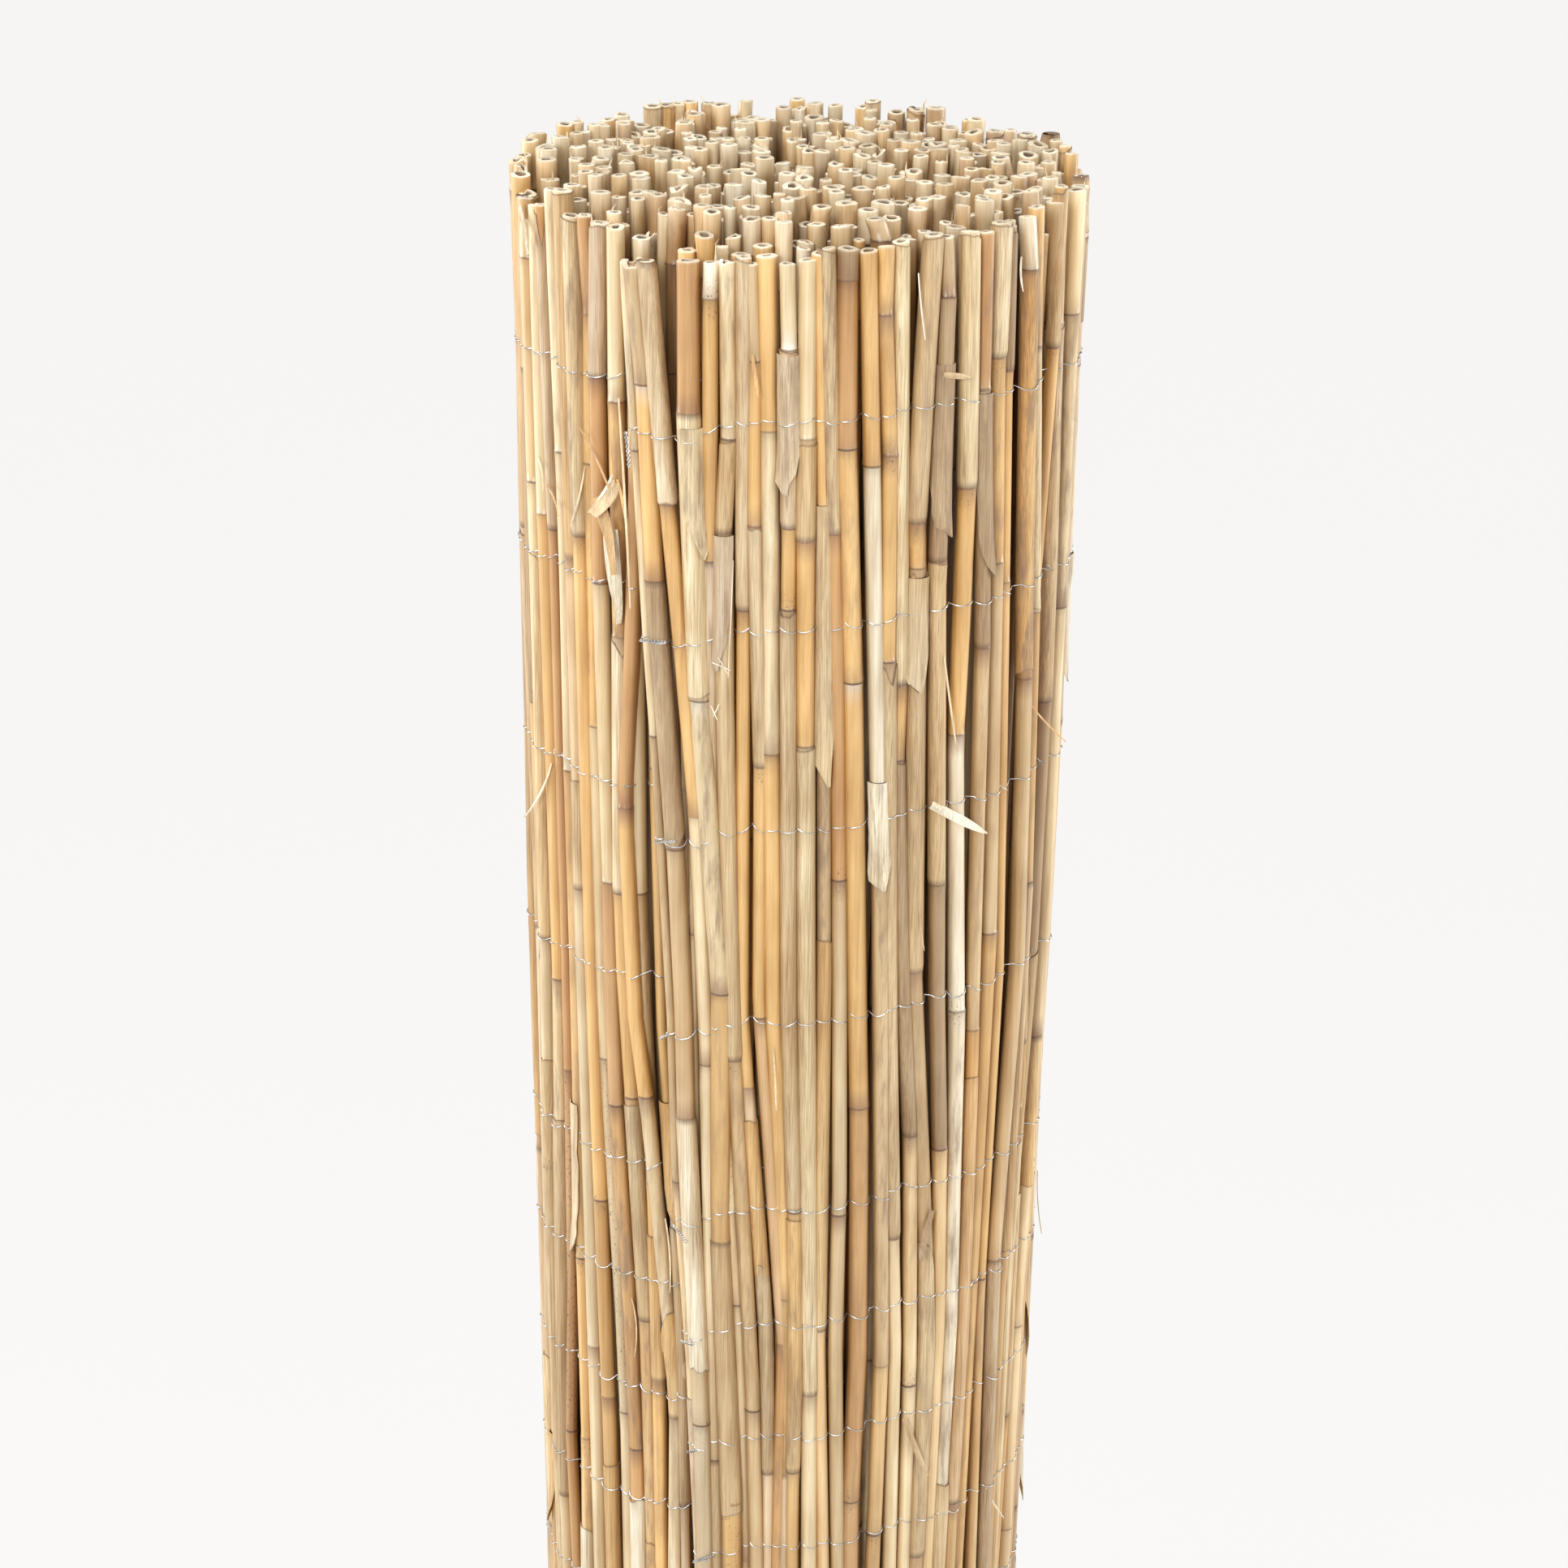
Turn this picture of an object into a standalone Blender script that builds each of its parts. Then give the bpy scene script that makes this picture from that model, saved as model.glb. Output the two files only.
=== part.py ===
"""Reed screening roll: a mat of reeds woven on galvanised wire, rolled up and stood on end.

The mat's free edge lies on the front left of the roll, and the mat winds inwards from it,
anticlockwise seen from above. Each turn is one solid of reeds side by side, with the gaps
between the reeds cut into its outer face and every reed cut to its own height at the top.
Each wire row is a ring over the outer turn. The roll stands on its flush end at z = 0, with
the middle of its footprint on the Z axis, and is drawn in at half its height.
"""

import math
import random
from dataclasses import dataclass

import bmesh
import bpy

# Roll, in metres
ROLL_HEIGHT = 1.500
ROLL_RADIUS = 0.130
CORE_RADIUS = 0.0092
WAIST_HEIGHT = 0.750
WAIST_DEPTH = 0.014
FREE_EDGE_ANGLE = math.radians(-118.0)
PIECE_GAP = 0.0003

# Reeds, in metres
REED_THINNEST = 0.0054
REED_MEAN = 0.0073
REED_FATTEST = 0.0096
REED_SPREAD = 0.0011
REED_GAP = 0.0005
JOINT_HEIGHT = 0.0008
TOP_SCATTER = 0.018
CUT_STEP = 0.001

# Wire rows, in metres
WIRE_DIAMETER = 0.0008
TOP_ROW_MARGIN = 0.073
FOOT_ROW_MARGIN = 0.104
END_ROW_SPACING = 0.0885
MIDDLE_ROW_SPACING = 0.056
ROW_RISE = 0.010
ROW_SAG = 0.019

# Counts, and the share of the outer turn that a wire row goes round
TURN_COUNT = 10
END_ROW_COUNT = 5
WIRE_POINT_COUNT = 19
WIRE_TURN_SHARE = 0.97
OUTER_FACE_COUNT = 4
INNER_FACE_COUNT = 2
SEED = 7

# Worked out from the sizes above
START_RADIUS = ROLL_RADIUS - REED_FATTEST / 2
TURN_PITCH = (START_RADIUS - CORE_RADIUS) / TURN_COUNT
INNER_FACE = REED_THINNEST / 2

REED_COLOUR = (0.72, 0.53, 0.29, 1.0)
INNER_REED_COLOUR = (0.62, 0.45, 0.25, 1.0)
WIRE_COLOUR = (0.62, 0.62, 0.60, 1.0)


@dataclass
class Reed:
    """One reed: where it starts and ends along the mat, in turns, and how thick and tall it is."""

    start: float
    end: float
    diameter: float
    height: float


def spiral_radius(turns):
    """Distance of the mat's centre line from the axis, some turns in from the free edge."""
    return START_RADIUS - TURN_PITCH * turns


def waist_scale(z):
    """How far the roll is drawn in at a height, as a share of its width at the ends."""
    if z < WAIST_HEIGHT:
        away = (WAIST_HEIGHT - z) / WAIST_HEIGHT
    else:
        away = (z - WAIST_HEIGHT) / (ROLL_HEIGHT - WAIST_HEIGHT)
    waist = 1.0 - WAIST_DEPTH / ROLL_RADIUS
    return waist + (1.0 - waist) * away


def mat_point(turns, offset, z):
    """A point of the rolled mat: along it in turns, outward of its centre line, and up."""
    angle = FREE_EDGE_ANGLE + math.tau * turns
    radius = (spiral_radius(turns) + offset) * waist_scale(z)
    return (radius * math.cos(angle), radius * math.sin(angle), z)


def lay_reeds():
    """Reeds side by side along the mat, from its free edge to the core."""
    dice = random.Random(SEED)
    reeds = []
    start = 0.0
    while start < TURN_COUNT:
        diameter = min(max(dice.gauss(REED_MEAN, REED_SPREAD), REED_THINNEST), REED_FATTEST)
        drop = CUT_STEP * round(TOP_SCATTER * dice.random() ** 2 / CUT_STEP)
        end = start + (diameter + REED_GAP) / (math.tau * spiral_radius(start))
        if end > TURN_COUNT:
            break
        reeds.append(Reed(start, end, diameter, ROLL_HEIGHT - drop))
        start = end
    lift = ROLL_HEIGHT - max(reed.height for reed in reeds)
    for reed in reeds:
        reed.height += lift
    return reeds


def outer_points(reed, faces):
    """The reed's outer face between its two joints, as (turns, offset) pairs on its circle."""
    middle = (reed.start + reed.end) / 2
    radius = reed.diameter / 2
    points = []
    for index in range(1, faces):
        swing = math.pi * (index / faces - 0.5)
        along = radius * math.sin(swing) / (math.tau * spiral_radius(middle))
        points.append((middle + along, radius * math.cos(swing)))
    return points


def add_column(bm, turns, offset, heights):
    """A vertical line of vertices, one at each height."""
    return [bm.verts.new(mat_point(turns, offset, z)) for z in heights]


def fill_between(bm, left, right):
    """Faces between two columns of vertices, which may have different heights in them."""
    low, high = 0, 0
    while low < len(left) - 1 or high < len(right) - 1:
        next_left = left[low + 1] if low < len(left) - 1 else None
        next_right = right[high + 1] if high < len(right) - 1 else None
        level = next_left and next_right and abs(next_left.co.z - next_right.co.z) < CUT_STEP / 2
        if level:
            bm.faces.new((left[low], right[high], next_right, next_left))
            low, high = low + 1, high + 1
        elif next_right is None or (next_left and next_left.co.z < next_right.co.z):
            bm.faces.new((left[low], right[high], next_left))
            low += 1
        else:
            bm.faces.new((left[low], right[high], next_right))
            high += 1


def joint_heights(before, after):
    """Heights of the vertices on the joint of two reeds: both reeds' tops are among them."""
    tops = {round(reed.height, 4) for reed in (before, after) if reed}
    return [0.0, WAIST_HEIGHT] + sorted(tops)


def cut_to(column, height):
    """The part of a column of vertices that a reed of this height reaches."""
    return [vertex for vertex in column if vertex.co.z < height + CUT_STEP / 2]


def build_turn(name, reeds, faces, material):
    """One turn of the mat: a solid strip of reeds, round outside and plain inside."""
    bm = bmesh.new()
    end_gap = PIECE_GAP / (math.tau * spiral_radius(reeds[-1].end))
    outer, inner = [], []
    for index in range(len(reeds) + 1):
        before = reeds[index - 1] if index else None
        after = reeds[index] if index < len(reeds) else None
        turns = after.start if after else before.end - end_gap
        heights = joint_heights(before, after)
        outer.append(add_column(bm, turns, JOINT_HEIGHT, heights))
        inner.append(add_column(bm, turns, -INNER_FACE, heights))
    for index, reed in enumerate(reeds):
        build_reed(bm, reed, faces, outer[index:index + 2], inner[index:index + 2])
        if index:
            close_step(bm, reeds[index - 1], reed, outer[index], inner[index])
    fill_between(bm, inner[0], outer[0])
    fill_between(bm, outer[-1], inner[-1])
    bmesh.ops.recalc_face_normals(bm, faces=bm.faces)
    return finish_mesh(name, bm, material)


def build_reed(bm, reed, faces, outer, inner):
    """The outer face, inner face, foot and top of one reed of a turn."""
    crown = [add_column(bm, turns, offset, (0.0, WAIST_HEIGHT, reed.height))
             for turns, offset in outer_points(reed, faces)]
    face = [cut_to(outer[0], reed.height)] + crown + [cut_to(outer[1], reed.height)]
    back = [cut_to(column, reed.height) for column in inner]
    for left, right in zip(face, face[1:]):
        fill_between(bm, left, right)
    fill_between(bm, back[1], back[0])
    bm.faces.new([column[-1] for column in face] + [back[1][-1], back[0][-1]])
    bm.faces.new([column[0] for column in face] + [back[1][0], back[0][0]])


def close_step(bm, before, after, outer, inner):
    """The side of the taller of two neighbours, above the top of the shorter one."""
    if abs(before.height - after.height) > CUT_STEP / 2:
        bm.faces.new((outer[-2], outer[-1], inner[-1], inner[-2]))


def finish_mesh(name, bm, material):
    """Write a bmesh to a named object with its material."""
    mesh = bpy.data.meshes.new(name)
    bm.to_mesh(mesh)
    bm.free()
    mesh.materials.append(material)
    node = bpy.data.objects.new(name, mesh)
    bpy.context.collection.objects.link(node)
    return node


def row_heights():
    """Heights of the wire rows from the top down: wide apart at the ends, closer in the middle."""
    top_rows = [ROLL_HEIGHT - TOP_ROW_MARGIN - END_ROW_SPACING * row for row in range(END_ROW_COUNT)]
    foot_rows = [FOOT_ROW_MARGIN + END_ROW_SPACING * row for row in reversed(range(END_ROW_COUNT))]
    span = top_rows[-1] - foot_rows[0]
    gaps = max(1, round(span / MIDDLE_ROW_SPACING))
    middle_rows = [top_rows[-1] - span * row / gaps for row in range(1, gaps)]
    return top_rows + middle_rows + foot_rows


def wire_route(row_height):
    """Points of a wire row over the fattest reeds of the outer turn, from the free edge on."""
    step = WIRE_TURN_SHARE / (WIRE_POINT_COUNT - 1)
    clear = REED_FATTEST / 2 + (PIECE_GAP + WIRE_DIAMETER / 2) / waist_scale(WAIST_HEIGHT)
    route = []
    for index in range(WIRE_POINT_COUNT):
        turns = step * index
        lift = ROW_RISE * turns - ROW_SAG * math.sin(math.pi * turns)
        bulge = (spiral_radius(turns) + clear) * (1.0 / math.cos(math.pi * step) - 1.0)
        route.append(mat_point(turns, clear + bulge, row_height + lift))
    return route


def build_wire(name, row_height, material):
    """One wire row: a thin open ring of wire round the outer turn."""
    curve = bpy.data.curves.new(name, "CURVE")
    curve.dimensions = "3D"
    curve.bevel_depth = WIRE_DIAMETER / 2
    curve.bevel_resolution = 0
    curve.render_resolution_u = 0
    curve.use_fill_caps = True
    spline = curve.splines.new("POLY")
    spline.points.add(WIRE_POINT_COUNT - 1)
    for point, place in zip(spline.points, wire_route(row_height)):
        point.co = (*place, 1.0)
    curve.materials.append(material)
    node = bpy.data.objects.new(name, curve)
    bpy.context.collection.objects.link(node)
    return node


def make_material(name, colour, roughness, metallic):
    """A Principled BSDF with one colour, roughness and metallic value."""
    material = bpy.data.materials.new(name)
    material.use_nodes = True
    shader = material.node_tree.nodes["Principled BSDF"]
    shader.inputs["Base Color"].default_value = colour
    shader.inputs["Roughness"].default_value = roughness
    shader.inputs["Metallic"].default_value = metallic
    material.diffuse_color = colour
    return material


def outline_points(node):
    """All points of a turn's mesh or of a wire row's centre line."""
    if node.type == "MESH":
        return [vertex.co for vertex in node.data.vertices]
    return [point.co for point in node.data.splines[0].points]


def centre_footprint(nodes):
    """Move all pieces so that the middle of the roll's outline, seen from above, is on Z."""
    points = [point for node in nodes for point in outline_points(node)]
    for node in nodes:
        node.location.x = -(min(p.x for p in points) + max(p.x for p in points)) / 2
        node.location.y = -(min(p.y for p in points) + max(p.y for p in points)) / 2


def build_roll():
    """All turns of the mat, from the outside in, then all wire rows, from the top down."""
    outer_reed = make_material("outer_reed", REED_COLOUR, 0.45, 0.0)
    inner_reed = make_material("inner_reed", INNER_REED_COLOUR, 0.6, 0.0)
    wire = make_material("wire", WIRE_COLOUR, 0.35, 1.0)
    reeds = lay_reeds()
    nodes = []
    for turn in range(TURN_COUNT):
        laid = [reed for reed in reeds if int(reed.start) == turn]
        faces, material = (INNER_FACE_COUNT, inner_reed) if turn else (OUTER_FACE_COUNT, outer_reed)
        nodes.append(build_turn(f"reed_turn_{turn + 1:02d}", laid, faces, material))
    for row, height in enumerate(row_heights()):
        nodes.append(build_wire(f"wire_row_{row + 1:02d}", height, wire))
    centre_footprint(nodes)


for old in list(bpy.data.objects):
    bpy.data.objects.remove(old, do_unlink=True)
build_roll()
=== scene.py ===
"""Looks of the reed screening roll: reeds, leaf sheaths, woven wire, loose straw and the studio.

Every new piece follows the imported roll's own spiral, which RollPlan repeats. Reeds, sheaths and
wire rows are hundreds of alike small things, so each group is one mesh made from arrays. Ties and
loose straw are modelled with Blender's own operators.
"""
import logging
import math
import random
from dataclasses import dataclass, field, replace
from enum import Enum

import bpy
import numpy as np
from mathutils import Matrix, Vector


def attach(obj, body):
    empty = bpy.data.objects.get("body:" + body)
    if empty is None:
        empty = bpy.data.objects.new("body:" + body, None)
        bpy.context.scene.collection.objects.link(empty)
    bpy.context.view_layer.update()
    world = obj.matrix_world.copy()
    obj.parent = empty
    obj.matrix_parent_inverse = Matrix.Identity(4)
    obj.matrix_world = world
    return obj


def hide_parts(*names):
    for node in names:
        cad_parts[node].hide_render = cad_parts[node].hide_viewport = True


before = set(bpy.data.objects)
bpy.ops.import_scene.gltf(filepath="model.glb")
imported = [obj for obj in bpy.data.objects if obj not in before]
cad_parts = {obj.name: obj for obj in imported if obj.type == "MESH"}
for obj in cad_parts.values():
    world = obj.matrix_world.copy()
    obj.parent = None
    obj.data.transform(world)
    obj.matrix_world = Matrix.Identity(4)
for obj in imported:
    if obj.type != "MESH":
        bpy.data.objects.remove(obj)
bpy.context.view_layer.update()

Array = np.ndarray
Dice = np.random.Generator
Material = bpy.types.Material
Socket = bpy.types.NodeSocket
Pair = tuple[float, float]
Triple = tuple[float, float, float]
Row = tuple[float, ...]
TAU = math.tau
BODY = "root"
log = logging.getLogger("reed_roll")


def linear(red: float, green: float, blue: float) -> Array:
    """Turn a colour given as screen values from 0 to 255 into linear light."""
    value = np.array([red, green, blue], float) / 255.0
    return np.where(value <= 0.04045, value / 12.92, ((value + 0.055) / 1.055) ** 2.4)


class Tone(Enum):
    """Tones of dry reed, as screen colours, in the order of TONE_LETTERS."""

    GOLDEN = (224, 182, 117)
    STRAW = (231, 211, 171)
    BEIGE = (208, 181, 138)
    GREY_BROWN = (172, 145, 110)
    CREAM = (240, 230, 206)
    ORANGE_BROWN = (198, 152, 98)
    PINKISH = (214, 192, 162)

    @property
    def light(self) -> Array:
        """The tone in linear light."""
        return linear(*self.value)


TONE_LETTERS = dict(zip("GSBYCOP", Tone))
STEM_TONES, STEM_SHARES = "GSCBOPY", (0.36, 0.28, 0.07, 0.15, 0.08, 0.03, 0.03)
SHEATH_TONES, SHEATH_SHARES = "BSYPCG", (0.32, 0.24, 0.14, 0.10, 0.08, 0.12)
NODE_TONE = linear(104, 74, 52)
STAIN_TONE = linear(146, 106, 76)
BLOOM_TONE = linear(244, 238, 226)
CUT_TONE = linear(240, 225, 196)
# Partly the bore's own colour, partly painted shade inside the hollow.
BORE_AND_SHADE_TONE = linear(166, 136, 100)
PITH_TONE = linear(188, 158, 118)
WARM_TONE = Tone.ORANGE_BROWN.light * 1.1
WIRE_TONE = linear(214, 214, 210)
CUT_MARK = (0.0, 0.0, 1.0, 0.0)


def light(letter: str) -> Array:
    """Linear light of the tone that a letter of TONE_LETTERS names."""
    return TONE_LETTERS[letter].light


def blend(first: Array, second: Array, share: Array) -> Array:
    """Mix two tones, or one tone a ring, by the second's share in each ring."""
    share = share[:, None]
    return first * (1 - share) + second * share


def draw_if(dice: Dice, chance: float, low: float, high: float) -> float:
    """Draw an amount between low and high with some chance, or else 0."""
    return dice.uniform(low, high) if dice.random() < chance else 0.0


def ring_points(centres: Array, radii: Array, swing: Array) -> Array:
    """Set points round some centres.

    Args:
        centres: The centres, one a ring.
        radii: The points' distances from their centre.
        swing: The points' angles.

    Returns:
        Points as rings by sides by three.
    """
    points = np.repeat(centres[:, None, :], swing.shape[-1], axis=1)
    points[..., 0] += radii * np.cos(swing)
    points[..., 1] += radii * np.sin(swing)
    return points


class ReedEnd(Enum):
    """How a reed is cut or broken at one end."""

    HOLLOW = 0
    CLOSED = 1
    CRUSHED = 2
    TORN = 3


@dataclass
class Reed:
    """One reed of the mat: where it starts and ends in turns, its thickness and its height."""

    start: float
    end: float
    diameter: float
    height: float

    @property
    def middle(self) -> float:
        """The reed's place along the mat, in turns from the free edge."""
        return (self.start + self.end) / 2


@dataclass(frozen=True)
class ReedLook:
    """How one reed on the photographed side runs and looks, from its top down.

    places holds turns at OuterTurn.look_levels and joints holds heights. tones has one letter for
    each stretch. sheathed holds the digits of the sheathed stretches, and blooms, specks and darks
    those of joints, from 0 at the top. layer is how far outward of its packed place the reed lies.
    """

    width: float
    places: Row
    joints: Row
    tones: str
    sheathed: str = ""
    blooms: str = ""
    specks: str = ""
    darks: str = ""
    layer: float = 0.0


@dataclass(frozen=True)
class RollPlan:
    """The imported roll's own sizes in metres, and the places on its spiral.

    The last four fields shape tail_twist, which the solids don't have.
    """

    height: float = 1.500
    radius: float = 0.130
    core_radius: float = 0.0092
    waist_height: float = 0.750
    waist_depth: float = 0.014
    edge_angle: float = math.radians(-118.0)
    reed_thinnest: float = 0.0054
    reed_mean: float = 0.0073
    reed_fattest: float = 0.0096
    reed_spread: float = 0.0011
    reed_gap: float = 0.0005
    top_scatter: float = 0.018
    cut_step: float = 0.001
    top_row_margin: float = 0.073
    foot_row_margin: float = 0.104
    end_row_spacing: float = 0.0885
    middle_row_spacing: float = 0.056
    row_rise: float = 0.010
    row_sag: float = 0.019
    end_row_count: int = 5
    turn_count: int = 10
    seed: int = 7
    shift: Pair = (-0.003157314, 0.002764404)
    twist_lean: float = 0.016
    twist_middle: float = 0.97
    twist_width: float = 0.10
    twist_height: float = 1.43

    def spiral_radius(self, turns: Array | float) -> Array | float:
        """Distance of the mat's middle from the roll's axis, some turns in from the free edge."""
        start = self.radius - self.reed_fattest / 2
        return start - (start - self.core_radius) / self.turn_count * turns

    def waist_scale(self, height: Array | float) -> Array:
        """How far the roll is drawn in at a height, as a share of its width at the ends."""
        away = np.abs(np.asarray(height) - self.waist_height) / self.waist_height
        waist = 1.0 - self.waist_depth / self.radius
        return waist + (1.0 - waist) * away

    def place(self, turns: Array, offset: Array, height: Array) -> Array:
        """Points of the rolled mat in the row's frame.

        Args:
            turns: Places along the mat, in turns from the free edge.
            offset: Distances outward of the mat's middle.
            height: Heights above the floor.

        Returns:
            An array of points.
        """
        angle = self.edge_angle + TAU * turns
        radius = (self.spiral_radius(turns) + offset) * self.waist_scale(height)
        return np.stack([radius * np.cos(angle) + self.shift[0],
                         radius * np.sin(angle) + self.shift[1],
                         np.broadcast_to(height, np.shape(radius))], axis=-1)

    def row_heights(self) -> list[float]:
        """Heights of the wire rows, from the top down."""
        top = [self.height - self.top_row_margin - self.end_row_spacing * row
               for row in range(self.end_row_count)]
        foot = [self.foot_row_margin + self.end_row_spacing * row
                for row in reversed(range(self.end_row_count))]
        span = top[-1] - foot[0]
        gaps = max(1, round(span / self.middle_row_spacing))
        return top + [top[-1] - span * row / gaps for row in range(1, gaps)] + foot

    def row_lift(self, turns: float) -> float:
        """How far a wire row climbs or sags, some turns in from the free edge."""
        return self.row_rise * turns - self.row_sag * math.sin(math.pi * turns)

    def lay_reeds(self) -> list[Reed]:
        """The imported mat's reeds, side by side from the free edge to the core."""
        dice = random.Random(self.seed)
        reeds: list[Reed] = []
        start = 0.0
        while start < self.turn_count:
            diameter = dice.gauss(self.reed_mean, self.reed_spread)
            diameter = min(max(diameter, self.reed_thinnest), self.reed_fattest)
            drop = self.cut_step * round(self.top_scatter * dice.random() ** 2 / self.cut_step)
            end = start + (diameter + self.reed_gap) / (TAU * self.spiral_radius(start))
            if end > self.turn_count:
                break
            reeds.append(Reed(start, end, diameter, self.height - drop))
            start = end
        lift = self.height - max(reed.height for reed in reeds)
        for reed in reeds:
            reed.height += lift
        return reeds


class MeshPile:
    """Rings of vertices, their faces and their values, gathered into one joined mesh."""

    def __init__(self) -> None:
        """Start with nothing."""
        self.points: list[Array] = []
        self.tones: list[Array] = []
        self.marks: list[Array] = []
        self.quads: list[Array] = []
        self.triangles: list[Array] = []
        self.count = 0

    def add_rings(self, rings: Array, tones: Array, marks: Array) -> None:
        """Add one closed tube, skinned from the first ring to the last and capped with fans.

        Args:
            rings: Points, as rings by sides by three. Sides run anticlockwise seen from above
                when the first ring is the lowest.
            tones: Linear colours, one a ring or one a point.
            marks: Sheath, speck, cut and stain amounts, one a ring or one a point.
        """
        ring_count, sides = rings.shape[:2]
        index = self.count + np.arange(ring_count * sides).reshape(ring_count, sides)
        low, high = index[:-1], index[1:]
        quads = np.stack([low, np.roll(low, -1, 1), np.roll(high, -1, 1), high], axis=-1)
        self.quads.append(quads.reshape(-1, 4))
        self._keep(rings.reshape(-1, 3), self._spread(tones, ring_count, sides),
                   self._spread(marks, ring_count, sides))
        self._cap(rings[0], index[0][::-1], tones, marks, 0)
        self._cap(rings[-1], index[-1], tones, marks, -1)

    def _spread(self, values: Array, ring_count: int, sides: int) -> Array:
        """Give every point of a ring that ring's value, unless each point has its own.

        Args:
            values: Values, one a ring or one a point.
            ring_count: How many rings there are.
            sides: Points round a ring.

        Returns:
            The values, one a point.
        """
        values = np.asarray(values, float)
        if values.ndim == 2:
            values = np.repeat(values[:, None, :], sides, axis=1)
        return values.reshape(ring_count * sides, -1)

    def _keep(self, points: Array, tones: Array, marks: Array) -> None:
        """Keep points with their values."""
        self.points.append(points)
        self.tones.append(tones)
        self.marks.append(marks)
        self.count += len(points)

    def _cap(self, ring: Array, index: Array, tones: Array, marks: Array, which: int) -> None:
        """Close a ring with a fan round its middle.

        Args:
            ring: The ring's points.
            index: Their numbers in the pile, anticlockwise seen from outside.
            tones: The tube's tones.
            marks: The tube's marks.
            which: 0 for the first ring and -1 for the last, whose values the middle takes.
        """
        middle = self.count
        tone = np.asarray(tones, float)[which].reshape(-1, 3)[:1]
        mark = np.asarray(marks, float)[which].reshape(-1, 4)[:1]
        self._keep(ring.mean(axis=0)[None], tone, mark)
        fan = np.stack([index, np.roll(index, -1), np.full(len(index), middle)], axis=-1)
        self.triangles.append(fan)

    def build(self, name: str, material: Material,
              crease: float = math.radians(48.0)) -> bpy.types.Object:
        """Write the pile to a named object that rides on the roll.

        Args:
            name: The piece's name.
            material: Its finish.
            crease: Edges sharper than this angle stay sharp.

        Returns:
            The new object.
        """
        points, quads, triangles = map(np.concatenate, (self.points, self.quads, self.triangles))
        mesh = bpy.data.meshes.new(name)
        mesh.vertices.add(len(points))
        mesh.vertices.foreach_set("co", points.astype(np.float32).ravel())
        loops = np.concatenate([quads.ravel(), triangles.ravel()]).astype(np.int32)
        sizes = np.concatenate([np.full(len(quads), 4), np.full(len(triangles), 3)])
        starts = np.concatenate([[0], np.cumsum(sizes)[:-1]]).astype(np.int32)
        mesh.loops.add(len(loops))
        mesh.loops.foreach_set("vertex_index", loops)
        mesh.polygons.add(len(sizes))
        mesh.polygons.foreach_set("loop_start", starts)
        mesh.update(calc_edges=True)
        mesh.validate()
        mesh.shade_smooth()
        mesh.set_sharp_from_angle(angle=crease)
        write_values(mesh, "tone", np.concatenate(self.tones))
        write_values(mesh, "marks", np.concatenate(self.marks))
        mesh.materials.append(material)
        piece = bpy.data.objects.new(name, mesh)
        bpy.context.scene.collection.objects.link(piece)
        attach(piece, BODY)
        return piece


def write_values(mesh: bpy.types.Mesh, name: str, values: Array) -> None:
    """Write three or four values a point to a mesh as a colour attribute.

    Args:
        mesh: The mesh.
        name: The attribute's name, which the finishes read.
        values: The values, one row a point.
    """
    attribute = mesh.attributes.new(name, "FLOAT_COLOR", "POINT")
    full = np.ones((len(values), 4))
    full[:, :values.shape[1]] = values
    attribute.data.foreach_set("color", full.astype(np.float32).ravel())


def report(piece: bpy.types.Object) -> None:
    """Log one finished piece and its size in triangles."""
    piece.data.calc_loop_triangles()
    log.info("%s: %d triangles", piece.name, len(piece.data.loop_triangles))


@dataclass
class Stalk:
    """One reed's line: heights, place along the mat, offset outward and radius at each ring."""

    heights: Array
    turns: Array
    offsets: Array
    radii: Array
    tones: Array
    marks: Array
    joints: Array
    growth: int
    look: ReedLook | None = None
    covers: list[Triple] = field(default_factory=list)

    def at(self, height: float | Array) -> tuple[Array, ...]:
        """The stalk's place along the mat, offset and radius at a height."""
        return tuple(np.interp(height, self.heights, line)
                     for line in (self.turns, self.offsets, self.radii))

    def cover_at(self, height: float) -> float:
        """Thickness of the leaf sheath at a height."""
        return max((thick for low, high, thick in self.covers if low <= height <= high),
                   default=0.0)

    def kept(self, keep: Array) -> "Stalk":
        """The stalk with some of its rings only, told by one truth value a ring."""
        names = ("heights", "turns", "offsets", "radii", "tones", "marks")
        return replace(self, **{name: getattr(self, name)[keep] for name in names})


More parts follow.
